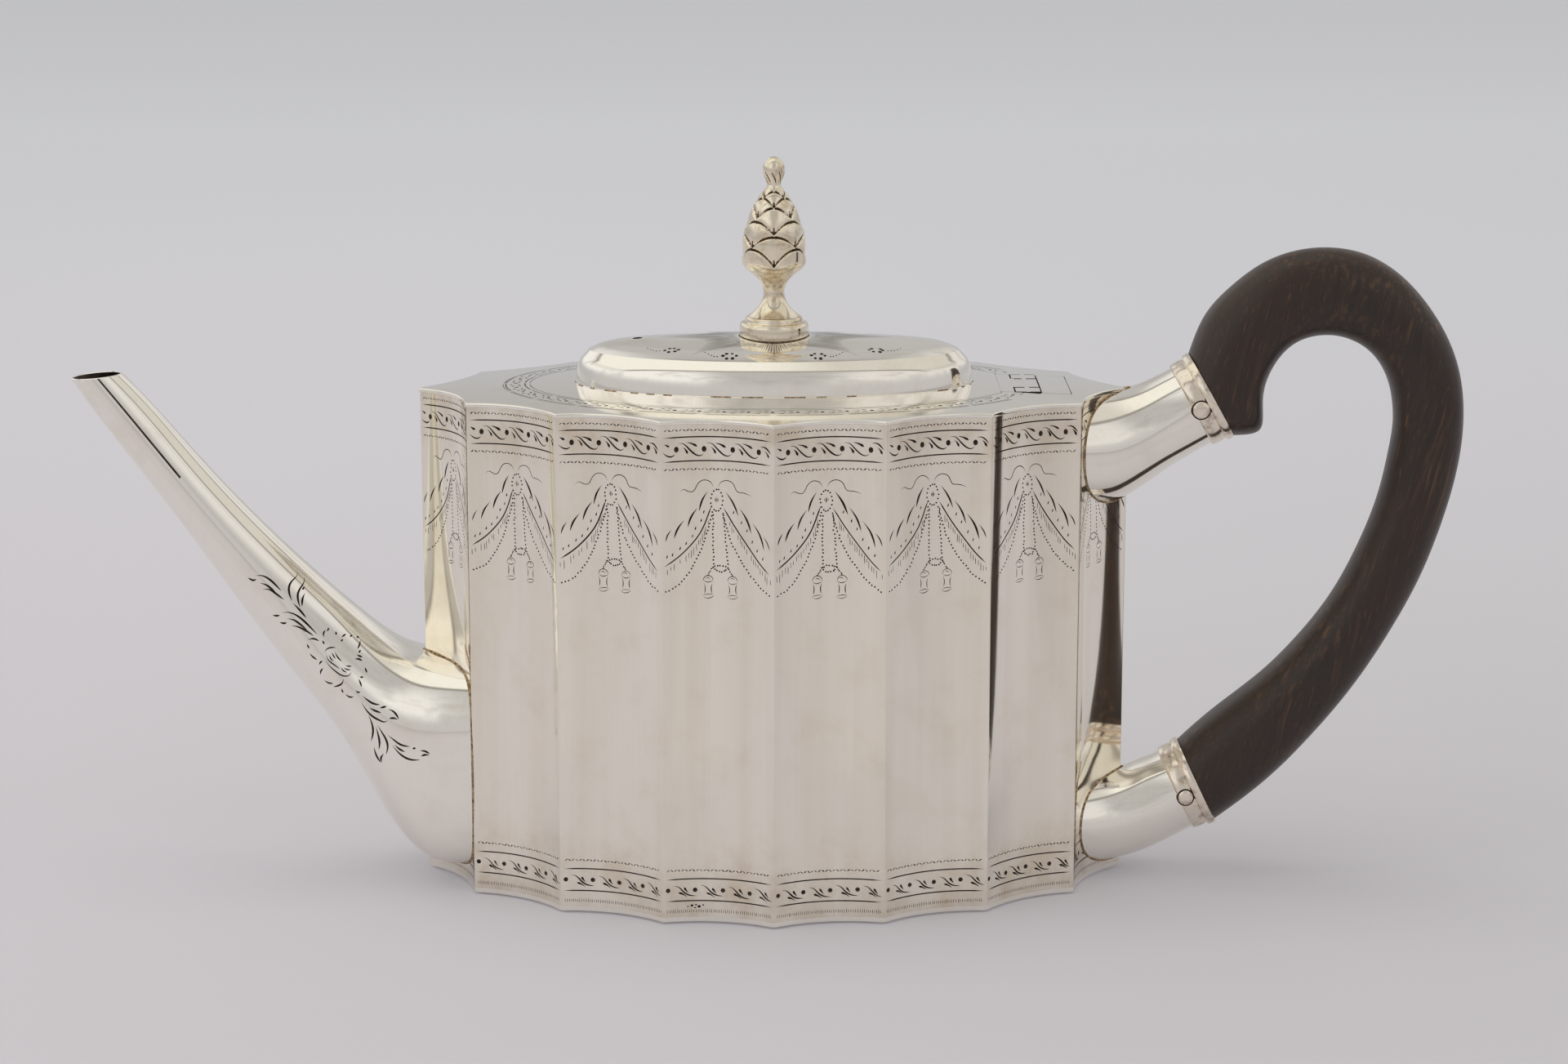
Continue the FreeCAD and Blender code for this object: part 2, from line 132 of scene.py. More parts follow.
def makeSilver(name, look, tarnishShare, borderShare=0.0):
    material, tree, shader, place = newMaterial(name)
    lines = drawnLines(tree, place, look["lineWidth"], look["lineLength"], 3.0)
    cloudy = {"Vector": place, "Scale": 1 / (look["patch"] * mm), "Detail": 6.0, "Roughness": 0.65}
    patches = addNode(tree, "TexNoise", cloudy).outputs["Fac"]
    stain = addNode(tree, "MapRange", [patches, *look["patchRange"], 0.0, tarnishShare]).outputs[0]
    haze = addNode(tree, "MapRange", [lines, *look["lineStain"]]).outputs[0]
    film = addNode(tree, "Math", [stain, haze], operation="ADD", use_clamp=True).outputs[0]
    if borderShare:   # the cloth doesn't reach into the engraved borders, so tarnish stays there
        height = addNode(tree, "SeparateXYZ", [place]).outputs["Z"]
        above = addNode(tree, "Math", [height, look["borderMiddle"] * mm], operation="SUBTRACT").outputs[0]
        away = addNode(tree, "Math", [above], operation="ABSOLUTE").outputs[0]
        reach = [away, look["borderFrom"] * mm, look["borderFull"] * mm, 0.0, borderShare]
        near = addNode(tree, "MapRange", reach, interpolation_type="SMOOTHSTEP").outputs[0]
        clouds = addNode(tree, "MapRange", [patches, *look["cloudRange"]]).outputs[0]
        left = addNode(tree, "Math", [near, clouds], operation="MULTIPLY").outputs[0]
        # the cloth was drawn up and down the flutes
        bands = drawnLines(tree, place, look["bandWidth"], look["bandLength"], 2.0)
        wiped = addNode(tree, "MapRange", [bands, *look["bandStain"]]).outputs[0]
        for more in (left, wiped):
            film = addNode(tree, "Math", [film, more], operation="ADD", use_clamp=True).outputs[0]
    slow = addNode(tree, "TexNoise", {"Vector": place, "Scale": 1 / (look["wave"] * mm), "Detail": 1.0}).outputs["Fac"]
    wave = addNode(tree, "Bump", {"Height": slow, "Strength": 1.0, "Distance": look["waveHeight"] * mm}).outputs[0]
    polish = {"Height": lines, "Strength": look["lineStrength"], "Distance": look["lineDepth"] * mm, "Normal": wave}
    tone = {"Factor": film, "A": look["bright"], "B": look["tarnish"]}
    feed(tree, shader, {
        "Metallic": 1.0, "Base Color": addNode(tree, "Mix", tone, data_type="RGBA").outputs["Result"],
        "Roughness": addNode(tree, "MapRange", [lines, *look["roughRange"], *look["roughness"]]).outputs[0],
        "Normal": addNode(tree, "Bump", polish).outputs[0]})
    return material


# Oxide left in the graver's cuts: brown-black and dull, so that the ornament reads as ink
oxideLook = {"grain": 0.8, "darkTo": 0.35, "lightFrom": 0.7, "roughness": (0.38, 0.6), "metallic": 0.55}


def makeOxide(name, dark, light):
    material, tree, shader, place = newMaterial(name)
    fine = {"Vector": place, "Scale": 1 / (oxideLook["grain"] * mm), "Detail": 3.0}
    grain = addNode(tree, "TexNoise", fine).outputs["Fac"]
    tone = addNode(tree, "ValToRGB", [grain], [(oxideLook["darkTo"], dark), (oxideLook["lightFrom"], light)])
    feed(tree, shader, {
        "Metallic": oxideLook["metallic"], "Base Color": tone.outputs["Color"],
        "Roughness": addNode(tree, "MapRange", [grain, 0.0, 1.0, *oxideLook["roughness"]]).outputs[0]})
    return material


# Dark tropical hardwood, sawn from a plank, rasped to shape and waxed: near black-brown with long upright
# grain, lighter pores, and a soft satin sheen
woodLook = {
    "dark": "#21150f", "mid": "#2c1e16", "light": "#624428", "tones": (0.36, 0.54, 0.76), "tilt": -14,
    "bendSize": 25.0, "bend": 4.0, "grain": 1.1, "grainLength": 40.0, "pore": 0.35, "poreLength": 5.0,
    "poreRange": (0.6, 0.75, 0.0, 0.5), "poreStrength": 0.3, "poreDepth": 0.03,
    "calm": 24.0, "calmRange": (0.4, 0.62, 0.15, 1.0), "roughness": (0.3, 0.42),
}


def makeWood(name, look):
    material, tree, shader, place = newMaterial(name)
    tilt = {"Vector": place, "Rotation": (0, math.radians(look["tilt"]), 0)}
    tilted = addNode(tree, "Mapping", tilt).outputs[0]
    slow = {"Vector": tilted, "Scale": 1 / (look["bendSize"] * mm), "Detail": 2.0}
    bend = addNode(tree, "TexNoise", slow).outputs["Color"]
    shift = addNode(tree, "VectorMath", {0: bend, "Scale": look["bend"] * mm}, operation="SCALE").outputs[0]
    bent = addNode(tree, "VectorMath", [tilted, shift], operation="ADD").outputs[0]
    grain = drawnLines(tree, bent, look["grain"], look["grainLength"], 4.0, 0.6)
    pores = drawnLines(tree, bent, look["pore"], look["poreLength"], 2.0)
    tones = list(zip(look["tones"], (look["dark"], look["mid"], look["light"])))
    tone = addNode(tree, "ValToRGB", [grain], tones).outputs["Color"]
    # streaks show in some places and are rubbed calm in others
    calm = addNode(tree, "TexNoise", {"Vector": place, "Scale": 1 / (look["calm"] * mm), "Detail": 1.0}).outputs["Fac"]
    figured = fade(tree, calm, look["calmRange"], look["mid"], tone)
    pitted = {"Height": pores, "Strength": look["poreStrength"], "Distance": look["poreDepth"] * mm}
    feed(tree, shader, {
        "Base Color": fade(tree, pores, look["poreRange"], figured, look["light"]),
        "Roughness": addNode(tree, "MapRange", [grain, 0.0, 1.0, *look["roughness"]]).outputs[0],
        "Normal": addNode(tree, "Bump", pitted).outputs[0]})
    return material


sheetSilver = makeSilver("planishedSterlingSilver", silverLook, 0.16)
wallLook = dict(silverLook, bright="#faf4e9", tarnish="#cfbb9b")
wallSilver = makeSilver("planishedSilverTarnishedAtBorders", wallLook, 0.16, 0.36)
castLook = dict(silverLook, bright="#f3e9d4", tarnish="#b39468", roughness=(0.07, 0.16), lineLength=4.0,
                patch=3.0, wave=4.0, waveHeight=0.012)
castSilver = makeSilver("castSterlingSilver", castLook, 0.7)
wornLook = dict(castLook, bright="#f2e7d8", tarnish="#8a6c52", patch=2.2, roughness=(0.1, 0.22))
wornSilver = makeSilver("rubbedCastSilverWithOldPolish", wornLook, 0.85)
# the engraved cuts' oxide also paints a reflection: the dark lines down the spout's sides below the mouth
cutOxideAndPaintedReflection = makeOxide("oxideInEngravedCutsAndPaintedReflection", "#1f1814", "#4a3c30")
solderOxide = makeOxide("tarnishedSilverSolder", "#6d5238", "#c9b28c")
# oxide in the cast clefts and round the finial's foot, which in the pinecone's ledge recesses is painted shade as well
cleftOxideAndPaintedShade = makeOxide("oxideAndPaintedShadeInCastClefts", "#33281e", "#7b654c")
teaStain = makeOxide("teaStainedSilver", "#1a1310", "#40332a")
ebonisedWood = makeWood("waxedDarkHardwood", woodLook)
print("materials made")


weld = 2000   # points nearer than this part of a millimetre are joined


# A growing mesh in millimetres
class Stock:
    def __init__(self):
        self.points = []
        self.known = {}
        self.faces = []
        self.slots = []
        self.normals = []

    def point(self, p):
        key = (round(p[0] * weld), round(p[1] * weld), round(p[2] * weld))
        if key not in self.known:
            self.known[key] = len(self.points)
            self.points.append((p[0] * mm, p[1] * mm, p[2] * mm))
        return self.known[key]

    # normals is one vector per corner, or nothing where smooth shading will do
    def face(self, corners, slot=0, normals=None):
        ring, kept = [], []
        for i, corner in enumerate(corners):
            index = self.point(corner)
            if index not in ring:
                ring.append(index)
                kept.append(tuple(normals[i]) if normals else (0.0, 0.0, 0.0))
        if len(ring) > 2:
            self.faces.append(ring)
            self.slots.append(slot)
            self.normals.extend(kept)

    # rows of points, and of normals if there are any, joined into four-sided faces
    def grid(self, rows, slot=0, normals=None, closed=False, flip=False, skip=None):
        for i in range(len(rows) - 1):
            width = len(rows[i])
            for j in range(width if closed else width - 1):
                if skip and skip(i, j):
                    continue
                k = (j + 1) % width
                spots = [(i, j), (i, k), (i + 1, k), (i + 1, j)]
                if flip:
                    spots.reverse()
                shading = [normals[a][b] for a, b in spots] if normals else None
                self.face([rows[a][b] for a, b in spots], slot, shading)

    def cap(self, row, slot=0, flip=False):
        self.face(list(reversed(row)) if flip else list(row), slot)

    def build(self, name, materials, body, nodes, sharp=35):
        mesh = bpy.data.meshes.new(name)
        mesh.from_pydata(self.points, [], self.faces)
        for material in materials:
            mesh.materials.append(material)
        mesh.polygons.foreach_set("material_index", self.slots)
        mesh.polygons.foreach_set("use_smooth", [True] * len(self.faces))
        mesh.set_sharp_from_angle(angle=math.radians(sharp))
        if any(n != (0.0, 0.0, 0.0) for n in self.normals):
            mesh.normals_split_custom_set(self.normals)
        piece = bpy.data.objects.new(name, mesh)
        bpy.context.scene.collection.objects.link(piece)
        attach(piece, body)
        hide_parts(*nodes)
        print(name, len(self.points), "points", len(self.faces), "faces")


# A natural cubic curve through given values
def cubicThrough(xs, ys):
    n = len(xs)
    h = [b - a for a, b in zip(xs, xs[1:])]
    bend = [0.0] * n
    lower, upper = [0.0] * n, [0.0] * n
    for i in range(1, n - 1):
        pull = 6 * ((ys[i + 1] - ys[i]) / h[i] - (ys[i] - ys[i - 1]) / h[i - 1])
        weight = 2 * (h[i - 1] + h[i]) - h[i - 1] * upper[i - 1]
        upper[i] = h[i] / weight
        lower[i] = (pull - h[i - 1] * lower[i - 1]) / weight
    for i in range(n - 2, 0, -1):
        bend[i] = lower[i] - upper[i] * bend[i + 1]

    def value(x):
        i = 0
        while i < n - 2 and x > xs[i + 1]:
            i += 1
        a, b = (xs[i + 1] - x) / h[i], (x - xs[i]) / h[i]
        curve = ((a ** 3 - a) * bend[i] + (b ** 3 - b) * bend[i + 1]) * h[i] ** 2 / 6
        return a * ys[i] + b * ys[i + 1] + curve
    return value


# A smooth tube through rings of (x, z, half height, half width, lean in degrees, squareness).
# It gives a point and its normal at a distance along the tube and a turn round it.
def makeTube(rings):
    run = runAlong(rings)
    curves = [cubicThrough(run, [ring[i] for ring in rings]) for i in range(6)]

    def spot(w, turn, inset=0.0):
        x, z, high, wide, lean, square = [curve(w) for curve in curves]
        c, s = math.sin(turn), -math.cos(turn)
        across = -math.copysign(abs(c) ** (2 / square), c) * (wide - inset)
        along = math.copysign(abs(s) ** (2 / square), s) * (high - inset)
        lean = math.radians(lean)
        return Vector((x + along * math.cos(lean), across, z + along * math.sin(lean)))

    def normal(w, turn):
        step, swing = 0.05, 0.02
        forward = spot(w + step, turn) - spot(w - step, turn)
        around = spot(w, turn + swing) - spot(w, turn - swing)
        n = around.cross(forward).normalized()
        return n if n.dot(spot(w, turn) - Vector((curves[0](w), 0, curves[1](w)))) > 0 else -n

    return spot, normal, run[-1], curves


# Plan of the fluted drum, from the CAD model's own sizes
drum = {"halfLength": 71.5, "halfWidth": 41.8, "height": 100.0, "exponent": 1.7, "flutesPerQuarter": 4,
        "fluteDepth": 2.3, "ribRound": 0.4, "sheet": 0.9, "crownRise": 1.9, "overhang": 0.25,
        "arcSteps": 16, "ribSteps": 4, "solderDepth": 0.4}


def allRibs():
    steps = 2000
    curve = []
    for i in range(steps + 1):
        turn = math.pi / 2 * i / steps
        curve.append(Vector((drum["halfLength"] * math.cos(turn) ** (2 / drum["exponent"]),
                             drum["halfWidth"] * math.sin(turn) ** (2 / drum["exponent"]))))
    run = [0.0]
    for a, b in zip(curve, curve[1:]):
        run.append(run[-1] + (b - a).length)
    quarter = []
    for k in range(drum["flutesPerQuarter"] + 1):
        wanted = run[-1] * k / drum["flutesPerQuarter"]
        quarter.append(min(zip(run, curve), key=lambda pair: abs(pair[0] - wanted))[1])
    half = quarter + [Vector((-p.x, p.y)) for p in reversed(quarter[:-1])]
    return half + [Vector((p.x, -p.y)) for p in reversed(half[1:-1])]


ribs = allRibs()
flutes = []
for ribA, ribB in zip(ribs, ribs[1:] + ribs[:1]):
    chord = ribB - ribA
    outward = Vector((chord.y, -chord.x)).normalized()
    radius = (chord.length ** 2 / 4 + drum["fluteDepth"] ** 2) / (2 * drum["fluteDepth"])
    flutes.append({"centre": (ribA + ribB) / 2 + outward * (radius - drum["fluteDepth"]), "radius": radius,
                   "outward": outward, "along": chord.normalized()})


def circlesMeet(c1, r1, c2, r2, near):
    between = c2 - c1
    span = between.length
    along = (r1 ** 2 - r2 ** 2 + span ** 2) / (2 * span)
    across = math.sqrt(r1 ** 2 - along ** 2)
    line = between / span
    foot = c1 + line * along
    side = Vector((-line.y, line.x)) * across
    return min((foot + side, foot - side), key=lambda p: (p - near).length)


# For each flute: the arc's reach to its left and right rib, and the rounded rib that follows it
def planPieces(inset):
    rounding = max(drum["ribRound"] - inset, 0.0)
    corners = []
    for i, rib in enumerate(ribs):
        a, b = flutes[i - 1], flutes[i]
        corners.append(circlesMeet(a["centre"], a["radius"] + inset + rounding,
                                   b["centre"], b["radius"] + inset + rounding, rib))
    pieces = []
    for i, flute in enumerate(flutes):
        reach = []
        for corner in (corners[i], corners[(i + 1) % len(ribs)]):
            away = (corner - flute["centre"]).normalized()
            reach.append(math.atan2(away.dot(flute["along"]), -away.dot(flute["outward"])))
        pieces.append({"reach": reach, "corner": corners[(i + 1) % len(ribs)], "rounding": rounding})
    return pieces


def flutePoint(flute, angle, inset):
    way = -flute["outward"] * math.cos(angle) + flute["along"] * math.sin(angle)
    return flute["centre"] + way * (flute["radius"] + inset), -way


# One closed outline with its outward directions, in step for every inset
def planLine(inset):
    line = []
    pieces = planPieces(inset)
    for i, (flute, piece) in enumerate(zip(flutes, pieces)):
        low, high = piece["reach"]
        for k in range(drum["arcSteps"] + 1):
            line.append(flutePoint(flute, low + (high - low) * k / drum["arcSteps"], inset))
        start = line[-1]
        after = flutes[(i + 1) % len(flutes)]
        end = flutePoint(after, pieces[(i + 1) % len(flutes)]["reach"][0], inset)
        for k in range(1, drum["ribSteps"]):
            share = k / drum["ribSteps"]
            way = (start[1] * (1 - share) + end[1] * share).normalized()
            line.append((piece["corner"] + way * piece["rounding"], way))
    return line


def crownHeight(x, y):
    return drum["height"] + drum["crownRise"] * (1 - (x / drum["halfLength"]) ** 2 - (y / drum["halfWidth"]) ** 2)


def crownNormal(x, y):
    slopeX = 2 * drum["crownRise"] * x / drum["halfLength"] ** 2
    slopeY = 2 * drum["crownRise"] * y / drum["halfWidth"] ** 2
    return Vector((slopeX, slopeY, 1)).normalized()


def crownPoint(p, drop=0.0):
    return Vector((p[0], p[1], crownHeight(p[0], p[1]) - drop))


def onTop(x, y):
    return crownPoint((x, y)), crownNormal(x, y)


def underneath(x, y):
    return crownPoint((x, y), drum["sheet"]), -crownNormal(x, y)


# The cut edge of a crowned plate
def plateEdge(stock, line, flip=False):
    stock.grid([[crownPoint(p, drop) for p in line] for drop in (0.0, drum["sheet"])], 0, closed=True, flip=flip)


# How deep a point near the wall lies behind its outer face
def wallDepth(x, y):
    p = Vector((x, y))
    return min((p - flute["centre"]).length - flute["radius"] for flute in flutes)


# Engraving: a stroke is a line of points with a widest cut and a manner, and each cut is a real V groove
graver = {"leastHalf": 0.03, "depthShare": 0.9, "smallDot": 0.25, "smallDotSides": 6, "dotSides": 10, "clearCell": 0.5,
          "dotMargin": 0.6, "lineMargin": 0.15, "trimStep": 0.4, "swell": (0.85, 1.15)}


def smoothLine(points, gap):
    if len(points) == 2:
        middle = ((points[0][0] + points[1][0]) / 2, (points[0][1] + points[1][1]) / 2)
        points = [points[0], middle, points[1]]
    run = runAlong(points)
    xs = cubicThrough(run, [p[0] for p in points])
    ys = cubicThrough(run, [p[1] for p in points])
    count = max(4, min(40, round(run[-1] / gap)))
    return [(xs(run[-1] * i / count), ys(run[-1] * i / count)) for i in range(count + 1)]


def cutWidth(manner, share):
    if manner == "comma":   # thin entry, deep blunt end
        return 0.12 + 0.88 * share ** 1.3
    if manner == "blade":   # thin at both ends, fullest past the middle
        return math.sin(math.pi * share ** 1.25) ** 0.8
    if manner == "hair":
        return min(1.0, 6 * share, 6 * (1 - share))
    return min(1.0, 12 * share, 12 * (1 - share))   # a ruled line


def strokeShape(stroke, gap):
    points, width, manner = stroke
    if manner == "dot":
        (x, y), size = points[0], points[1]
        sides = graver["smallDotSides"] if max(size) < graver["smallDot"] else graver["dotSides"]
        edge = [(x + size[0] * math.cos(t), y + size[1] * math.sin(t)) for t in turnsOf(sides)]
        return edge, [(x, y)], [width], False
    line = smoothLine(points, gap)
    left, right, spine, depth = [], [], [], []
    for i in range(1, len(line) - 1):
        dx, dy = line[i + 1][0] - line[i - 1][0], line[i + 1][1] - line[i - 1][1]
        length = math.hypot(dx, dy) or 1.0
        half = max(graver["leastHalf"], width * cutWidth(manner, i / (len(line) - 1)) / 2)
        side = (-dy / length * half, dx / length * half)
        left.append((line[i][0] + side[0], line[i][1] + side[1]))
        right.append((line[i][0] - side[0], line[i][1] - side[1]))
        spine.append(line[i])
        depth.append(half * graver["depthShare"])
    return [line[0]] + right + [line[-1]] + left[::-1], spine, depth, True


# Fills an outline with silver, cuts the strokes into it and leaves the holes open.
# place turns a flat point into a point on the surface and its normal.
def engrave(stock, outline, free, strokes, place, silver, cut, holes=(), gap=0.45, flip=False):
    area = sum(a[0] * b[1] - b[0] * a[1] for a, b in zip(outline, outline[1:] + outline[:1]))
    outline = list(outline if area > 0 else reversed(outline))
    flat, edges, rings, depths = outline[:], [], [list(range(len(outline)))], [0.0] * len(outline)
    for hole in holes:
        rings.append(list(range(len(flat), len(flat) + len(hole))))
        flat += hole
        depths += [0.0] * len(hole)
    taken = set()
    cell = graver["clearCell"]
    for stroke in strokes:
        edge, spine, depth, joined = strokeShape(stroke, gap)
        start = len(flat)
        rings.append(list(range(start, start + len(edge))))
        flat += edge
        depths += [0.0] * len(edge)
        first = len(flat)
        flat += spine
        depths += depth
        if joined:
            chain = [start] + list(range(first, first + len(spine))) + [start + len(spine) + 1]
            edges += list(zip(chain, chain[1:]))
        for x, y in edge + spine:
            column, row = math.floor(x / cell), math.floor(y / cell)
            taken.update((column + i, row + j) for i in (-1, 0, 1) for j in (-1, 0, 1))
    for x, y in free:
        if (math.floor(x / cell), math.floor(y / cell)) not in taken:
            flat.append((x, y))
            depths.append(0.0)
    spots, _, triangles, sources, _, covers = delaunay_2d_cdt(
        [Vector(p) for p in flat], edges, rings, 0, 1e-6, True)
    surface = []
    for spot, source in zip(spots, sources):
        point, normal = place(spot[0], spot[1])
        depth = max((depths[k] for k in source), default=0.0)
        surface.append((point - normal * depth, normal))
    openFaces = set(range(1, 1 + len(holes)))
    for triangle, cover in zip(triangles, covers):
        if 0 not in cover or openFaces & set(cover):
            continue
        order = tuple(reversed(triangle)) if flip else tuple(triangle)
        corners = [surface[k][0] for k in order]
        if len(cover) > 1:
            facet = (corners[1] - corners[0]).cross(corners[2] - corners[0])
            if facet.length > 1e-9:
                facet.normalize()
                stock.face(corners, cut, [facet] * 3)
                continue
        stock.face(corners, silver, [surface[k][1] for k in order])


def dotLine(points, gap, size, rng, slack=0.05):
    return [([(x + rng.uniform(-slack, slack), y + rng.uniform(-slack, slack)), (size, size)], size * 0.8, "dot")
            for x, y in smoothLine(points, gap)]


# The graver's hand: every stroke is shifted and sized a little differently
def byHand(strokes, rng, wobble):
    drawn = []
    for points, width, manner in strokes:
        dx, dy = rng.gauss(0, wobble), rng.gauss(0, wobble)
        if manner == "dot":
            drawn.append(([(points[0][0] + dx, points[0][1] + dy), points[1]], width, manner))
        else:
            drawn.append(([(x + dx, y + dy) for x, y in points], width * rng.uniform(*graver["swell"]), manner))
    return drawn


# Keeps what lies inside the panel, so that a stroke may run on over a rib
def insidePanel(strokes, reach):
    kept = []
    for points, width, manner in strokes:
        if manner == "dot":
            if abs(points[0][0]) < reach - graver["dotMargin"]:
                kept.append((points, width, manner))
            continue
        line = smoothLine(points, graver["trimStep"])
        run = [p for p in line if abs(p[0]) < reach - graver["lineMargin"]]
        if len(run) > 3:
            kept.append((run if len(run) < len(line) else points, width, manner))
    return kept


# Wave-scroll border, repeated: a dot, a long S and two deep commas, as (right, down) from the dot
scroll = {"pitch": 5.45, "wobble": 0.06}
topScroll = {"dot": (0.47, 0.58), "dotDepth": 0.3, "strokes": [
    ([(0.15, -1.1), (1.25, -1.1), (2.3, -0.2), (3.25, 0.75), (4.2, 1.28), (4.8, 1.25), (5.3, 0.8)], 0.32, "blade"),
    ([(1.2, -0.45), (1.75, 0.05), (2.2, 0.95)], 0.66, "comma"),
    ([(1.9, -1.25), (2.9, -1.05), (4.15, -0.4)], 0.66, "comma")]}
footScroll = {"dot": (0.47, 0.464), "dotDepth": 0.22, "strokes": [
    ([(0.85, -1.0), (2.0, -0.7), (2.95, 0.25), (3.95, 0.95), (5.6, 1.15)], 0.32, "blade"),
    ([(4.1, 0.65), (3.6, 0.0), (3.2, -0.6)], 0.66, "comma"),
    ([(3.9, 1.5), (3.0, 0.85), (2.05, 0.5)], 0.594, "comma")]}


def scrollUnit(unit, x, y, rng):
    strokes = [([(x, y), unit["dot"]], unit["dotDepth"], "dot")]
    strokes += [([(x + a, y - b) for a, b in points], width, manner) for points, width, manner in unit["strokes"]]
    return byHand(strokes, rng, scroll["wobble"])


# Wriggle work: small ticks that lean to and fro
def wriggle(y, reach, rng, swing=0.46, pitch=0.72):
    ticks = []
    x, way = -reach + 0.5, 1
    while x < reach - 1.0:
        rise = swing * rng.uniform(0.7, 1.2)
        ticks.append(([(x, y - way * rise / 2), (x + pitch * rng.uniform(0.7, 0.95), y + way * rise / 2)],
                      0.23 * rng.uniform(0.7, 1.2), "blade"))
        x += pitch
        way = -way
    return ticks


def hatch(y, reach, rng):
    ticks = []
    x = -reach + 0.5
    while x < reach - 0.5:
        length = rng.uniform(0.7, 1.1)
        ticks.append(([(x, y + length / 2), (x + 0.12, y - length / 2)], 0.12, "blade"))
        x += rng.uniform(0.34, 0.5)
    return ticks


# Festoon of one panel, as (across, below the top edge): bow, medallion, swag, fringe, bead chains and tassels
festoon = {
    "medallion": (-0.4, 15.7), "medallionSize": (1.15, 2.1), "beads": 15, "bead": 0.19, "smallBead": 0.171,
    "fringe": 0.85, "fringeGap": 0.75, "wobble": 0.05,
    "bow": [
        [(-7.6, 14.1), (-6.8, 13.5), (-5.9, 13.9), (-5.1, 14.0), (-4.0, 12.4), (-2.7, 11.7), (-1.5, 12.2),
         (-1.0, 13.2)],
        [(-0.2, 13.2), (0.3, 12.2), (1.5, 11.7), (2.9, 12.4), (3.7, 13.8), (4.6, 13.9), (5.6, 14.1), (6.6, 14.5)]],
    "folds": [
        ([(-2.2, 13.9), (-3.3, 15.7), (-3.9, 17.9)], 0.4), ([(-4.1, 17.2), (-5.4, 19.0), (-6.1, 21.1)], 0.4),
        ([(-6.7, 19.6), (-8.0, 21.3), (-8.7, 23.2)], 0.38), ([(-9.2, 21.3), (-10.0, 22.4), (-10.4, 23.7)], 0.26),
        ([(1.2, 13.9), (2.7, 16.0), (3.8, 18.6)], 0.4), ([(4.0, 17.0), (5.5, 19.2), (6.4, 21.8)], 0.4),
        ([(6.6, 19.7), (8.2, 22.0), (9.1, 24.9)], 0.38), ([(8.9, 21.9), (9.9, 23.2), (10.4, 24.6)], 0.26)],
    "swags": [
        ([(-1.4, 16.6), (-2.3, 19.1), (-3.6, 22.0), (-5.7, 24.7), (-8.1, 26.9), (-10.7, 28.6)], 0.26),
        ([(0.9, 17.0), (3.6, 21.3), (6.4, 25.1), (8.6, 27.8), (10.4, 29.5)], 0.24)],
    "ticks": [
        (-2.9, 18.0), (-3.4, 19.7), (-4.5, 21.1), (-5.1, 22.6), (-6.3, 24.1), (-7.5, 25.0), (-8.9, 26.1),
        (-10.0, 26.6), (2.9, 17.9), (4.5, 19.7), (5.6, 21.3), (6.7, 23.3), (7.8, 24.9), (9.0, 26.4)],
    "chains": [
        ([(-1.3, 18.0), (-1.9, 20.6), (-2.9, 23.7), (-4.5, 27.6), (-6.2, 30.4), (-8.1, 32.4), (-10.4, 33.5)], 0.74),
        ([(0.8, 18.2), (1.5, 20.9), (2.5, 23.8), (4.0, 26.7), (5.8, 29.3), (7.7, 31.6), (10.3, 33.5)], 0.74),
        ([(-1.1, 18.6), (-1.15, 23.5), (-1.05, 28.2)], 0.74), ([(0.95, 18.6), (1.3, 23.5), (1.65, 28.2)], 0.74),
        ([(-1.1, 28.8), (-0.5, 29.5), (0.4, 29.7), (1.2, 29.4), (1.6, 28.8)], 0.5),
        ([(-0.8, 28.6), (0.3, 28.4), (1.3, 28.6)], 0.55)],
    "cords": [[(-1.3, 28.9), (-2.1, 30.3)], [(1.8, 28.9), (2.6, 30.3)]], "cordGap": 0.5, "tassels": (-2.1, 2.7),
    "tassel": [
        ([(-1.0, 31.6), (-0.7, 30.8), (0, 30.5), (0.8, 30.9), (1.0, 31.6)], 0.14, "hair"),
        ([(-1.1, 31.4), (-0.3, 31.9), (1.0, 31.5)], 0.16, "blade"),
        ([(-0.6, 31.2), (-0.1, 30.9), (0.4, 31.3)], 0.14, "blade"),
        ([(-0.85, 31.9), (-0.6, 32.8), (-0.75, 34.1)], 0.18, "blade"),
        ([(0.85, 31.9), (0.62, 32.8), (0.75, 34.1)], 0.2, "blade"),
        ([(-1.25, 34.6), (-0.3, 34.3), (1.1, 34.3)], 0.14, "blade"),
        ([(-1.2, 34.65), (-0.1, 34.95), (1.15, 34.35)], 0.16, "blade")],
}


def festoonStrokes(rng):
    midX, midY = festoon["medallion"]
    wide, high = festoon["medallionSize"]
    bead = festoon["bead"]
    strokes = [([(midX + wide * math.cos(t), midY + high * math.sin(t)), (bead, bead)], 0.14, "dot")
               for t in turnsOf(festoon["beads"])]
    for k in range(5):
        x = midX - 0.3 + 0.15 * k
        tall = 0.75 - abs(k - 2) * 0.2
        strokes.append(([(x, midY - tall - 0.1), (x + 0.02, midY + tall - 0.2)], 0.11, "blade"))
    strokes += [(points, 0.15, "hair") for points in festoon["bow"]]
    strokes += [(points, width, "blade") for points, width in festoon["folds"]]
    strokes += [(points, width, "ruled") for points, width in festoon["swags"]]
    strokes += [([(x + 0.08, y - 0.35), (x - 0.02, y + 0.05), (x - 0.12, y + 0.4)], 0.26, "blade")
                for x, y in festoon["ticks"]]
    for swag, _ in festoon["swags"]:   # the fringe, with some threads lost
        for x, y in smoothLine(swag, festoon["fringeGap"])[3:]:
            if rng.random() < festoon["fringe"]:
                drop = rng.uniform(0.5, 0.9)
                strokes.append(([(x + 0.1, y + drop), (x + 0.12, y + drop + rng.uniform(0.9, 2.1))], 0.11, "hair"))
    for points, gap in festoon["chains"]:
        strokes += dotLine(points, gap, bead, rng)
    for points in festoon["cords"]:
        strokes += dotLine(points, festoon["cordGap"], festoon["smallBead"], rng)
    for x in festoon["tassels"]:
        strokes += [([(x + a, y) for a, y in points], width, manner) for points, width, manner in festoon["tassel"]]
    return strokes


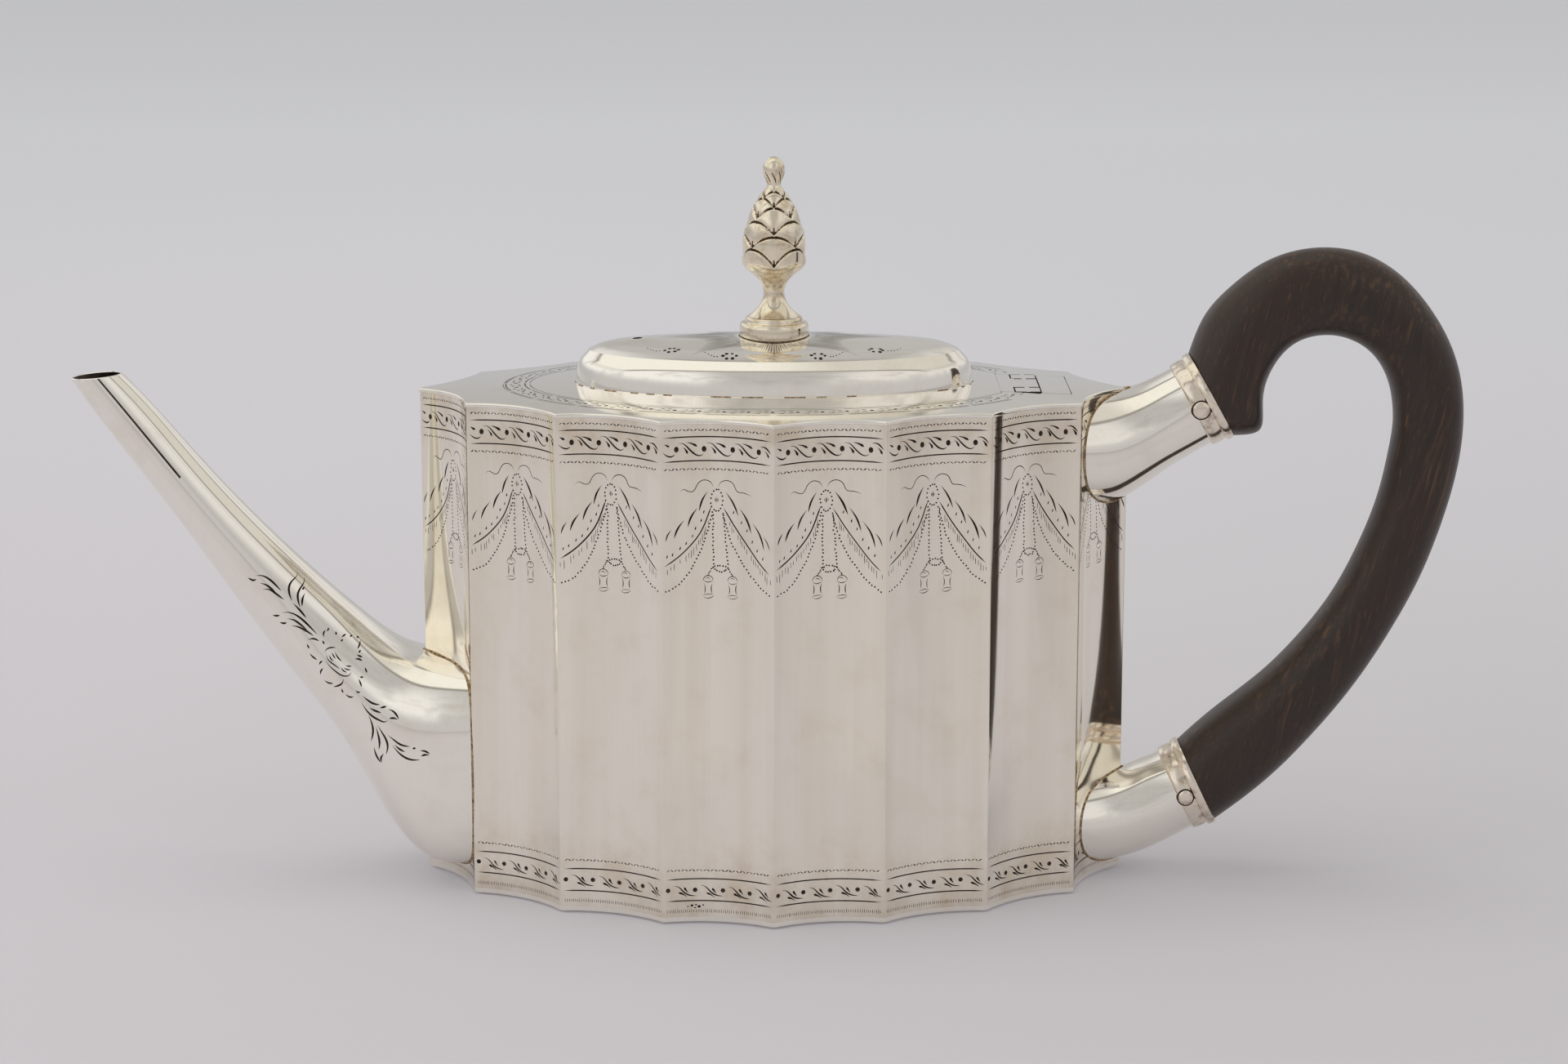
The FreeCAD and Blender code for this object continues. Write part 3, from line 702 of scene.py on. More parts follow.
# The fluted wall; levels of its borders are distances from the nearer edge
border = {"topWriggle": 2.0, "topLine": 3.4, "topScroll": 5.7, "topLine2": 8.05, "topWriggle2": 9.6,
          "footHatch": 2.1, "footLine": 4.1, "footScroll": 6.35, "footLine2": 8.6, "footWriggle": 10.4,
          "topPatch": 61.0, "topRows": 18, "midRows": 6, "footPatch": 12.5, "footRows": 8, "lineCut": 0.26,
          "lineMargin": 0.3, "topLap": 0.1, "seed": 7, "pitPanel": 11,
          "pits": [(-5.6, 3.2, 0.3), (-4.8, 3.35, 0.22), (-4.2, 3.0, 0.34), (-3.4, 3.3, 0.2), (-5.0, 2.75, 0.2),
                   (-6.4, 3.0, 0.18)]}


def ruledLine(level, reach, sag, slack, rng):
    end = reach - border["lineMargin"]
    points = [(-end, level + rng.uniform(-0.1, 0.1)), (0, level + sag), (end, level + rng.uniform(*slack))]
    return points, border["lineCut"], "ruled"


def makeWall():
    stock = Stock()
    rng = random.Random(border["seed"])
    full, arcSteps, ribSteps = drum["height"], drum["arcSteps"], drum["ribSteps"]
    bottom, top = drum["sheet"], full - drum["sheet"] + border["topLap"]
    footLevels = evenly(bottom, border["footPatch"], border["footRows"])
    midLevels = evenly(border["footPatch"], border["topPatch"], border["midRows"])
    topLevels = evenly(border["topPatch"], top, border["topRows"])
    ribLevels = footLevels + midLevels[1:] + topLevels[1:]

    # heights are stretched a little so that the wall follows the crowned top
    def crowned(p, z):
        return Vector((p.x, p.y, z * crownHeight(p.x, p.y) / full))

    for index, (flute, piece) in enumerate(zip(flutes, planPieces(0.0))):
        low, high = piece["reach"]
        radius = flute["radius"]
        middle, reach = (low + high) / 2 * radius, (high - low) / 2 * radius
        columns = evenly(-reach, reach, arcSteps)

        def place(s, z):
            p, n = flutePoint(flute, (s + middle) / radius, 0.0)
            return crowned(p, z), Vector((n.x, n.y, 0))

        def patch(levels, strokes):
            outline = [(s, levels[0]) for s in columns] + [(columns[-1], z) for z in levels[1:]]
            outline += [(s, levels[-1]) for s in reversed(columns[:-1])]
            outline += [(columns[0], z) for z in reversed(levels[1:-1])]
            free = [(s, z) for s in columns[1:-1] for z in levels[1:-1]]
            engrave(stock, outline, free, strokes, place, 0, 1)

        def below(strokes):
            return [([(p[0][0], full - p[0][1]), p[1]] if m == "dot" else [(x, full - y) for x, y in p], w, m)
                    for p, w, m in strokes]

        def scrolls(unit, count, start, level):
            units = []
            for k in range(-1, count):
                units += scrollUnit(unit, (k - start) * scroll["pitch"], level, rng)
            return insidePanel(units, reach)

        strokes = below(insidePanel(byHand(festoonStrokes(rng), rng, festoon["wobble"]), reach))
        strokes += below([ruledLine(border[k], reach, -0.12, (-0.1, 0.15), rng) for k in ("topLine", "topLine2")])
        for k in ("topWriggle", "topWriggle2"):
            strokes += wriggle(full - border[k], reach, rng)
        patch(topLevels, strokes + scrolls(topScroll, 4, 1.5, full - border["topScroll"]))
        strokes = [ruledLine(border[k], reach, 0.1, (-0.15, 0.1), rng) for k in ("footLine", "footLine2")]
        strokes += hatch(border["footHatch"], reach, rng) + wriggle(border["footWriggle"], reach, rng)
        strokes += scrolls(footScroll, 5, 1.9, border["footScroll"])
        if index == border["pitPanel"]:   # a small cluster of casting pits in one panel's foot
            strokes += [([(x, z), (size, size * 0.8)], size, "dot") for x, z, size in border["pits"]]
        patch(footLevels, strokes)
        spots = [[place(s, z) for s in columns] for z in midLevels]
        stock.grid([[p for p, n in row] for row in spots], 0, [[n for p, n in row] for row in spots])
    # rounded ribs, then the plain inner face
    line = planLine(0.0)
    for index in range(len(flutes)):
        first = index * (arcSteps + ribSteps) + arcSteps
        rib = [line[(first + k) % len(line)] for k in range(ribSteps + 1)]
        rows = [[crowned(p, z) for p, n in rib] for z in ribLevels]
        stock.grid(rows, 0, [[Vector((n.x, n.y, 0)) for p, n in rib] for z in ribLevels])
    rows = [[crowned(p, z) for p, n in planLine(drum["sheet"])] for z in (bottom, full / 2, top)]
    stock.grid(rows, 0, closed=True, flip=True)
    stock.grid([rows[0], [crowned(p, bottom) for p, n in line]], 1, closed=True)
    stock.grid([[crowned(p, top) for p, n in line], rows[-1]], 0, closed=True)
    stock.build("fluted_wall", [wallSilver, cutOxideAndPaintedReflection], "pot", ["body_wall"])


makeWall()


# Lid opening, lid and hinge
lid = {"halfLength": 49.0, "halfWidth": 29.5, "gap": 0.15, "leafStart": 45.0, "leafEnd": 47.75, "hingeX": 50.5,
       "knuckle": 2.6, "hingeHalf": 10.4, "middleHalf": 5.1, "fixedStart": 53.25, "fixedEnd": 59.0,
       "endGap": 0.16, "clearance": 0.15, "lidSteps": 120, "leafGap": 0.03, "leafLap": 0.02, "leafReach": 2.0,
       "knuckleEdge": 0.45, "knuckleSteps": 24, "polishSteps": 3, "solderSeed": 3, "solderShare": 0.4}
# Border round the opening: lines as (outside the lid, width of cut), and a motif as (along, outwards) from its dot
topBorder = {
    "lines": [(1.0, 0.26), (4.9, 0.24), (5.4, 0.16)], "motif": 2.9, "pitch": 4.9, "dot": (0.42, 0.42),
    "leaves": [([(0.9, 0.3), (1.7, 0.9), (2.4, 0.4)], 0.5, "comma"),
               ([(1.1, -0.5), (2.0, -0.8), (2.8, -0.3)], 0.5, "comma"),
               ([(2.9, 0.7), (3.5, 0.2), (4.2, 0.45)], 0.34, "blade"),
               ([(2.8, -0.7), (3.4, -1.05), (4.1, -0.8)], 0.34, "blade")],
    "rows": (1.6, 2.2, 3.6, 4.3, 6.4, 8.0, 10.0, 12.5), "rowSteps": 150, "rowMargin": 0.6,
    "hingeFrom": 43.5, "lineStop": 11.2, "rowStop": 12, "motifFrom": 40, "motifStop": 13, "wobble": 0.04, "seed": 11,
}


def ellipseLine(halfX, halfY, count):
    return [(halfX * math.cos(t), halfY * math.sin(t)) for t in turnsOf(count)]


def lidRing(grow, count):
    return ellipseLine(lid["halfLength"] + grow, lid["halfWidth"] + grow, count)


# Lid oval cut straight where the hinge leaf begins
def lidOval(grow, cutX):
    kept = [p for p in lidRing(grow, lid["lidSteps"]) if p[0] < cutX]
    halfY = (lid["halfWidth"] + grow) * math.sqrt(1 - (cutX / (lid["halfLength"] + grow)) ** 2)
    head = sorted([p for p in kept if p[1] >= 0], key=lambda p: -p[0])
    tail = sorted([p for p in kept if p[1] < 0], key=lambda p: p[0])
    return [(cutX, halfY)] + head + tail + [(cutX, -halfY)], halfY


def openingLine():
    cutX = lid["leafStart"] + lid["gap"]
    edge, end = lid["hingeHalf"] + lid["gap"], lid["fixedEnd"] + lid["endGap"]
    return lidOval(lid["gap"], cutX)[0] + [(cutX, -edge), (end, -edge), (end, edge), (cutX, edge)]


def topMotifs(rng):
    strokes = []
    fine = 720
    for grow, width in topBorder["lines"]:
        line = lidRing(grow, fine)
        for k in range(0, fine, 30):
            run = [line[(k + i) % fine] for i in range(0, 31, 5)]
            # the lines stop at the hinge
            farthest, nearest = max(run[0][0], run[-1][0]), min(abs(p[1]) for p in run)
            if farthest < topBorder["hingeFrom"] or nearest > topBorder["lineStop"]:
                strokes.append((run, width, "ruled"))
    ring = lidRing(topBorder["motif"], 2000)
    run = runAlong(ring + ring[:1])
    halfX, halfY = lid["halfLength"] + 3, lid["halfWidth"] + 3
    count = round(2 * math.pi * math.sqrt((halfX ** 2 + halfY ** 2) / 2) / topBorder["pitch"])
    spot = 0
    for k in range(count):
        wanted = run[-1] * k / count
        while run[spot + 1] < wanted:
            spot += 1
        x, y = ring[spot]
        if x > topBorder["motifFrom"] and abs(y) < topBorder["motifStop"]:   # and so do the motifs
            continue
        nextX, nextY = ring[(spot + 1) % len(ring)]
        length = math.hypot(nextX - x, nextY - y)
        tx, ty = (nextX - x) / length, (nextY - y) / length
        strokes.append(([(x, y), topBorder["dot"]], 0.3, "dot"))
        for points, width, manner in topBorder["leaves"]:
            strokes.append(([(x + tx * a + ty * b, y + ty * a - tx * b) for a, b in points], width, manner))
    return byHand(strokes, rng, topBorder["wobble"])


def makeTop():
    stock = Stock()
    outline = [tuple(p) for p, n in planLine(0.0)]
    opening = openingLine()
    free = []
    for grow in topBorder["rows"]:
        free += [p for p in lidRing(grow, topBorder["rowSteps"]) if wallDepth(*p) > topBorder["rowMargin"]
                 and not (p[0] > topBorder["hingeFrom"] and abs(p[1]) < topBorder["rowStop"])]
    engrave(stock, outline, free, topMotifs(random.Random(topBorder["seed"])), onTop, 0, 1, holes=[opening])
    engrave(stock, outline, [], [], underneath, 0, 1, holes=[opening], flip=True)
    # the rim stands a little proud of the wall, with a soft edge: (share of the overhang, drop, outward lean)
    rows, normals = [], []
    for share, drop, lean in ((0.0, 0.0, 0.15), (0.68, 0.06, 0.6), (1.0, 0.25, 0.97), (1.0, 0.7, 0.98),
                              (0.72, 0.86, 0.5), (0.0, 0.9, 0.05)):
        line = planLine(-share * drum["overhang"])
        rise = math.sqrt(1 - lean * lean) * (1 if drop < 0.5 else -1)
        rows.append([crownPoint(p, drop) for p, n in line])
        normals.append([Vector((n.x * lean, n.y * lean, rise)) for p, n in line])
    stock.grid(rows, 0, normals, closed=True, flip=True)
    plateEdge(stock, opening)
    stock.build("crowned_top", [sheetSilver, cutOxideAndPaintedReflection], "pot", ["top_plate"])


makeTop()


# The dome stands nearly upright, is bevelled, and breaks at a crease into its low crown: (drawn in, risen)
dome = {"halfLength": 40.0, "halfWidth": 20.0, "height": 10.75, "middle": 12.4, "steps": 120, "sideRows": 24,
        "vent": 1.0, "ventPlace": 27.4, "ventMargin": 0.5, "ventClear": 0.6,
        "side": [(0.0, 0.0), (0.1, 1.5), (0.28, 3.1), (0.58, 4.7), (1.0, 5.8), (1.42, 6.4), (1.9, 6.92),
                 (2.4, 7.46), (2.9, 8.0)],
        "crown": [(2.9, 8.0), (3.6, 8.35), (5.0, 8.95), (8.2, 9.63), (12.4, 10.12)]}
crownCurve = cubicThrough(*zip(*dome["crown"]))


def domeRing(drawIn):
    return ellipseLine(dome["halfLength"] - drawIn, dome["halfWidth"] - drawIn, dome["steps"])


# One on the oval that is drawn in so far, less inside it
def ovalShare(x, y, drawIn):
    return (x / (dome["halfLength"] - drawIn)) ** 2 + (y / (dome["halfWidth"] - drawIn)) ** 2


# How far in from its foot a point of the dome lies, seen from above
def domeDrawIn(x, y):
    low, high = 0.0, dome["middle"]
    if ovalShare(x, y, high) <= 1:
        return high
    for _ in range(40):
        middle = (low + high) / 2
        if ovalShare(x, y, middle) > 1:
            high = middle
        else:
            low = middle
    return (low + high) / 2


def domeRise(x, y):
    drawIn = domeDrawIn(x, y)
    if drawIn < dome["middle"]:
        return crownCurve(drawIn)
    low = dome["crown"][-1][1]
    return low + (dome["height"] - low) * (1 - ovalShare(x, y, dome["middle"]))


def onDome(x, y):
    step = 0.3
    slopeX = (domeRise(x + step, y) - domeRise(x - step, y)) / (2 * step)
    slopeY = (domeRise(x, y + step) - domeRise(x, y - step)) / (2 * step)
    return Vector((x, y, drum["height"] + domeRise(x, y))), Vector((-slopeX, -slopeY, 1)).normalized()


# Star of rays round the finial, and dotted sprigs between its points
star = {"tips": [(26.0, 0.0), (16.4, 13.8), (0.0, 15.6), (-16.4, 13.8), (-26.0, 0.0), (-16.4, -13.8), (0.0, -15.6),
                 (16.4, -13.8)], "rays": 24, "dip": 0.34, "rayFrom": (7.5, 8.4), "rayClear": 8.6,
        "hairs": 64, "hairFrom": 7.4, "hairTo": (8.8, 10.4),
        "sprigs": [(20.2, 10.6), (8.7, 14.7), (-8.7, 14.7), (-20.2, 10.6), (-20.2, -10.6), (-8.7, -14.7),
                   (8.7, -14.7), (20.2, -10.6)], "petals": 6, "petalReach": (1.35, 0.95), "tail": 5,
        "wobble": 0.03, "seed": 5}


def domeStrokes(rng):
    strokes = []
    tips, rays, hairs, petals = star["tips"], star["rays"], star["hairs"], star["petals"]
    for (ax, ay), (bx, by) in zip(tips, tips[1:] + tips[:1]):
        for k in range(rays):
            share = k / rays
            dip = 1 - star["dip"] * math.sin(math.pi * share) ** 0.7
            x, y = (ax + (bx - ax) * share) * dip, (ay + (by - ay) * share) * dip
            reach = math.hypot(x, y)
            if reach > star["rayClear"]:
                start = rng.uniform(*star["rayFrom"]) / reach
                strokes.append(([(x * start, y * start), (x, y)], 0.15, "blade"))
    for k in range(hairs):
        turn = 2 * math.pi * (k + 0.5) / hairs
        far = rng.uniform(*star["hairTo"])
        strokes.append(([(r * math.cos(turn), r * math.sin(turn)) for r in (star["hairFrom"], far)], 0.09, "hair"))
    wide, high = star["petalReach"]
    for x, y in star["sprigs"]:
        for k in range(petals):
            turn = 2 * math.pi * (k + rng.uniform(-0.2, 0.2)) / petals
            size = rng.uniform(0.3, 0.42)
            petal = (x + wide * math.cos(turn), y + high * math.sin(turn))
            strokes.append(([petal, (size, size * 1.15)], size * 0.7, "dot"))
        side = math.copysign(1, x)
        for k in range(star["tail"]):   # a dotted tail towards the dome's end
            bead = (x + side * (2.4 + 0.62 * k), y - math.copysign(0.12 * k * k, y))
            strokes.append(([bead, (0.17, 0.2)], 0.12, "dot"))
    return byHand(strokes, rng, star["wobble"])


def makeDome():
    stock = Stock()
    sheet = drum["sheet"]

    def sideRow(drawIn, rise):
        return [Vector((x, y, drum["height"] + rise)) for x, y in domeRing(drawIn)]

    # rows of the steep side, outside and inside, from the foot to the engraved top
    run = runAlong(dome["side"])
    inCurve, upCurve = [cubicThrough(run, values) for values in zip(*dome["side"])]
    outerRows, outerNormals, inside = [], [], []
    lean = 0.02
    for k, w in enumerate(evenly(0.0, run[-1], dome["sideRows"])):
        drawIn, rise = inCurve(w), upCurve(w)
        halfX, halfY = dome["halfLength"] - drawIn, dome["halfWidth"] - drawIn
        deeper, higher = inCurve(w + lean) - inCurve(w - lean), upCurve(w + lean) - upCurve(w - lean)
        row = sideRow(drawIn, rise)
        outerRows.append(row)
        normals = []
        for p in row:
            flat = Vector((p.x / halfX ** 2, p.y / halfY ** 2, 0))
            growth = flat.x * p.x / halfX + flat.y * p.y / halfY   # the side draws in evenly on all of the oval
            normals.append((flat / growth * higher + up * deeper).normalized())
        outerNormals.append(normals)
        if k % 3 == 0:
            slant = math.hypot(deeper, higher)
            inside.append(sideRow(drawIn + sheet * higher / slant, rise - sheet * deeper / slant))
    inside += [sideRow(drawIn, crownCurve(drawIn) - sheet) for drawIn in (4.2, 6.0, 8.2, 10.4, 12.2)]
    stock.grid(outerRows, 0, outerNormals, closed=True)
    vent = [(x - dome["ventPlace"], y) for x, y in ellipseLine(dome["vent"], dome["vent"], 20)]

    def clearOfVent(p, room):
        return math.hypot(p[0] + dome["ventPlace"], p[1]) > dome["vent"] + room

    free = []
    for drawIn in (3.2, 3.6, 4.2, 5.2, 6.4, 7.6, 8.8, 10.0, 11.2, 12.3):
        free += domeRing(drawIn)
    halfX, halfY = dome["halfLength"] - dome["middle"], dome["halfWidth"] - dome["middle"]
    for share in (0.85, 0.6, 0.35):
        free += ellipseLine(halfX * share, halfY * share, 60)
    free = [p for p in free if clearOfVent(p, dome["ventMargin"])]
    strokes = [s for s in domeStrokes(random.Random(star["seed"]))
               if all(clearOfVent(p, dome["ventClear"]) for p in s[0][:1 if s[2] == "dot" else None])]
    engrave(stock, [(p.x, p.y) for p in outerRows[-1]], free, strokes, onDome, 0, 1, holes=[vent])
    # inside of the sheet, and the vent's own edge
    stock.grid(inside, 0, closed=True, flip=True)
    stock.cap(inside[-1], 0, flip=True)
    stock.grid([outerRows[0], inside[0]], 0, closed=True, flip=True)
    ventTop = [onDome(*p)[0] for p in vent]
    stock.grid([ventTop, [p - up * sheet for p in ventTop]], 1, closed=True)
    stock.build("lid_dome_shell", [sheetSilver, cutOxideAndPaintedReflection], "lid", ["lid_dome"])


makeDome()


def makeFlange():
    stock = Stock()
    start = lid["leafStart"]
    outline, halfY = lidOval(0.0, start)
    outline += [(start, y) for y in evenly(-halfY, halfY, 8)[1:-1]]
    hole = domeRing(drum["sheet"])
    free = []
    for share in (0.25, 0.5, 0.75):
        halfX, halfY = [dome[k] + (lid[k] - dome[k]) * share for k in ("halfLength", "halfWidth")]
        free += [p for p in ellipseLine(halfX, halfY, lid["lidSteps"]) if p[0] < start - 0.8]
    engrave(stock, outline, free, [], onTop, 0, 0, holes=[hole])
    engrave(stock, outline, free, [], underneath, 0, 0, holes=[hole], flip=True)
    plateEdge(stock, outline, flip=True)
    plateEdge(stock, hole)
    # solder fillet where the dome stands on the flange, only partly wiped clean
    rows = [[crownPoint(p, -rise) for p in domeRing(-out)]
            for out, rise in ((0.13, 0.0), (0.06, 0.02), (0.01, 0.07), (-0.02, 0.14))]
    rng = random.Random(lid["solderSeed"])
    tarnished = [rng.random() < lid["solderShare"] for _ in range(dome["steps"])]
    stock.grid(rows, 1, closed=True, skip=lambda i, j: not tarnished[j])
    stock.grid(rows, 0, closed=True, skip=lambda i, j: tarnished[j])
    stock.build("lid_flange_plate", [sheetSilver, solderOxide], "lid", ["lid_flange"])


makeFlange()


# Flush hinge: two leaves let into the top and three knuckles filed level with it
def leafPlate(stock, x0, x1, half):
    sheets = [[[crownPoint((x, y), drop) for y in evenly(-half, half, 10)] for x in evenly(x0, x1, 4)]
              for drop in (0.0, drum["sheet"])]
    stock.grid(sheets[0], 0, flip=True)
    stock.grid(sheets[1], 0)
    rims = [s[0] + [r[-1] for r in s[1:]] + s[-1][::-1][1:] + [r[0] for r in s[1:-1]][::-1] for s in sheets]
    stock.grid(rims, 1, closed=True)


def knuckleBarrel(stock, y0, y1):
    radius, x = lid["knuckle"], lid["hingeX"]
    z = crownHeight(x, 0) - drum["sheet"]
    start = math.asin(drum["sheet"] / radius)
    steps, polish, edge = lid["knuckleSteps"], lid["polishSteps"], lid["knuckleEdge"]
    turns = [math.pi - start + (math.pi + 2 * start) * k / steps for k in range(steps + 1)]
    rows = []
    for y in (y0, y0 + edge, y1 - edge, y1):
        rows.append([Vector((x + radius * math.cos(t), y, z + radius * math.sin(t))) for t in turns])
    for k in range(steps + 1):
        joint = 1 if k < polish or steps - polish <= k < steps else 0   # old polish sits where barrel and leaves meet
        strip = [[row[k], row[(k + 1) % (steps + 1)]] for row in rows]
        stock.grid(strip, joint, flip=True, skip=lambda i, j: i != 1)
        stock.grid(strip, 1 if k == steps else joint, flip=True, skip=lambda i, j: i == 1)
    stock.cap(rows[0], 1)
    stock.cap(rows[-1], 1, flip=True)


def makeHinge():
    half, gap = lid["middleHalf"], lid["clearance"] / 2
    moving = Stock()
    leafPlate(moving, lid["leafStart"] + lid["leafGap"], lid["leafEnd"], lid["hingeHalf"])
    leafPlate(moving, lid["leafEnd"] - lid["leafLap"], lid["hingeX"] - lid["leafReach"], half - gap)
    knuckleBarrel(moving, -half + gap, half - gap)
    moving.build("hinge_moving_leaf", [sheetSilver, cutOxideAndPaintedReflection], "lid", ["hinge_lid_leaf"])
    fixed = Stock()
    leafPlate(fixed, lid["fixedStart"], lid["fixedEnd"], lid["hingeHalf"])
    for side in (-1, 1):
        y0, y1 = sorted((side * (half + gap), side * lid["hingeHalf"]))
        knuckleBarrel(fixed, y0, y1)
    fixed.build("hinge_let_in_leaf", [sheetSilver, cutOxideAndPaintedReflection], "pot", ["hinge_fixed_leaf"])


makeHinge()


# Turned work about any axis: profile of (distance along, radius)
def lathe(stock, profile, origin, axis, slot=0, count=72, capStart=True, capEnd=True):
    side = axis.cross(Vector((0, 1, 0)))
    side = (side if side.length > 0.1 else axis.cross(Vector((1, 0, 0)))).normalized()
    other = axis.cross(side)
    rows = [[origin + axis * along + (side * math.cos(t) + other * math.sin(t)) * radius for t in turnsOf(count)]
            for along, radius in profile]
    stock.grid(rows, slot, closed=True)
    if capStart:
        stock.cap(rows[0], slot, flip=True)
    if capEnd:
        stock.cap(rows[-1], slot)


# Rings about an upright axis, with faces dark where two of their corners are. shape gives radius and darkness.
def turnedSkin(stock, base, levels, count, shape):
    rows, marks = [], []
    for h in levels:
        spots = [(t, *shape(h, t)) for t in turnsOf(count)]
        rows.append([base + up * h + Vector((math.cos(t), math.sin(t), 0)) * r for t, r, dark in spots])
        marks.append([dark for t, r, dark in spots])
    stock.cap(rows[0], 0, flip=True)
    stock.cap(rows[-1], 0)
    for i in range(len(rows) - 1):
        for j in range(count):
            k = (j + 1) % count
            dark = marks[i][j] + marks[i][k] + marks[i + 1][j] + marks[i + 1][k] >= 2
            stock.face([rows[i][j], rows[i][k], rows[i + 1][k], rows[i + 1][j]], 1 if dark else 0)


# Finial: heights and radii of its turned foot, of the stem and cone, and of the scales' tips, row by row
finial = {"base": 110.75, "footRadius": 6.95, "coneFoot": 3.9, "scaleFrom": 8.0, "scalesPerRow": 4, "proud": 0.5,
          "ledge": 0.4, "tick": 1.7, "coneHeight": 26.3,
          "outline": [(0.0, 5.3), (0.65, 4.4), (1.5, 3.5), (2.5, 2.75), (3.5, 2.3), (4.6, 2.08), (5.6, 2.16),
                      (6.6, 2.58), (7.66, 3.35), (9.2, 4.95), (10.4, 5.8), (12.0, 5.95), (15.5, 5.8), (17.5, 5.4),
                      (20.1, 4.55), (22.5, 3.5), (24.5, 2.35), (25.8, 1.5), (26.3, 1.35)],
          "tips": [13.55, 16.15, 18.95, 21.75, 23.45, 24.75, 25.85], "dips": [3.3, 2.2, 2.3, 2.1, 1.6, 1.2, 0.9]}
bud = {"height": 6.25, "belly": 2.2, "neck": 1.3, "middle": 3.6, "sunk": 0.6, "cuts": 9, "twist": 0.22}


def makeFinial():
    foot = Stock()
    base = Vector((0, 0, finial["base"]))
    r = finial["footRadius"]
    profile = [(-0.75, r - 0.1), (0.0, r - 0.04), (0.4, r), (1.9, r), (2.35, r - 0.1), (2.65, r - 0.38),
               (2.75, r - 0.9), (2.8, 5.8), (2.9, 5.75), (3.3, 5.75), (3.6, 5.65), (3.8, 5.45), (3.9, 5.15)]
    rows = []
    for out, rise in ((0.22, -0.02), (0.1, 0.12), (-0.15, 0.3)):   # solder left round the foot
        rows.append([onDome(*p)[0] + up * rise for p in ellipseLine(r + out, r + out, 96)])
    foot.grid(rows, 1, closed=True)
    lathe(foot, profile, base, up, count=96)
    foot.build("finial_two_step_foot", [castSilver, cleftOxideAndPaintedShade], "lid", ["finial_foot"])

    cone = Stock()
    stem = base + up * finial["coneFoot"]
    radiusAt = cubicThrough(*zip(*finial["outline"]))
    start, ledge = finial["scaleFrom"], finial["ledge"]
    pitch = 2 * math.pi / finial["scalesPerRow"]

    # height of a scale row's edge, and how far the spot is from the scale's middle
    def edgeHeight(row, turn):
        offset = 0.0 if row % 2 else pitch / 2   # the lowest row has a cleft in front
        share = ((turn + math.pi / 2 + pitch / 2 + offset) / pitch) % 1.0
        return finial["tips"][row] - finial["dips"][row] * abs(2 * share - 1) ** 1.9, 2 * share - 1

    def scaleAt(h, turn):
        r = radiusAt(h)
        below, above, aside = start, None, 1.0
        for row in range(len(finial["tips"]) if h >= start else 0):
            edge, aside = edgeHeight(row, turn)
            if h <= edge:
                above = edge
                break
            below = max(below, edge)
        if above is None:
            return r, 0
        gap = h - below
        gain = finial["proud"] * min(1.0, r / 4)
        lift = gain * math.sin(min(1.0, max(0.0, gap / max(0.2, above - below))) * math.pi / 2)
        if below <= start:
            return r + lift, 0
        # painted shade: faces in the recess under each scale's ledge, and beside it at the scale's sides, get the dark
        # cleft material
        shade = 0
        if gap < ledge:   # the scale below ends in a ledge that falls back to this one
            lift = gain * (1 - gap / ledge) - 0.12 * gap / ledge
            shade = 1 if gap > ledge * 0.6 else 0
        elif gap < ledge + 0.2:
            shade = 1 if abs(aside) > 0.35 else 0
            lift -= 0.1
        reach = finial["tick"] * min(1.0, r / 4)
        if ledge < gap < reach and abs(aside) * pitch / 2 * r < 0.2 * (1 - gap / reach) + 0.05:
            return r + lift - 0.15, 1
        return r + lift, shade

    levels = [0.0, 0.15, 0.4] + [0.8 + 0.5 * k for k in range(14)] + [7.8 + 0.1 * k for k in range(186)]
    turnedSkin(cone, stem, levels, 216, scaleAt)

    # the bud, with slanting cuts
    def budAt(h, turn):
        belly, neck, middle = bud["belly"], bud["neck"], bud["middle"]
        if h > middle:
            r = belly * math.sqrt(max(0.0, 1 - ((h - middle) / (bud["height"] - middle)) ** 2))
        else:
            r = neck + (belly - neck) * (3 - 2 * h / middle) * (h / middle) ** 2
        off = ((turn + bud["twist"] * h) / (2 * math.pi) * bud["cuts"]) % 1.0 - 0.5
        cut = abs(off) < 0.09 * math.sin(math.pi * min(1.0, max(0.0, (h - 0.7) / 2.9)))
        return max(0.02, r) - (0.1 if cut else 0.0), 1 if cut else 0

    levels = [bud["height"] * math.sin(math.pi / 2 * k / 60) for k in range(61)]
    turnedSkin(cone, stem + up * (finial["coneHeight"] - bud["sunk"]), levels, 120, budAt)
    cone.build("finial_pinecone", [castSilver, cleftOxideAndPaintedShade], "lid", ["finial_cone"], sharp=50)


makeFinial()


# Straight spout: rings hung from its straight lower edge, as in the CAD model.
# Sections are (share of the way from mouth to root, share of the root's height, lean, share of its width, squareness).
spout = {"reach": 69.8, "mouthRise": 2.0, "rootLift": 4.5, "mouthLength": 10.3, "mouthWidth": 8.5,
         "rootHeight": 41.3, "mouthLean": 5.0, "rootDepth": 14.0, "rootFall": 1.2, "rootSquareness": 3.6,
         "wall": 0.9, "around": 80, "steps": 60, "patchRows": (20, 56), "patchTurn": 6, "paintedReflectionTurn": 22, "paintedReflectionRows": 14,
         "bead": 0.28,
         "sections": [(0.2, 0.262, 39.0, 0.29, 2.0), (0.4, 0.327, 41.4, 0.37, 2.1), (0.6, 0.438, 43.9, 0.50, 2.2),
                      (0.8, 0.622, 69.5, 0.74, 2.4), (1.0, 0.990, 85.0, 0.94, 3.2)]}


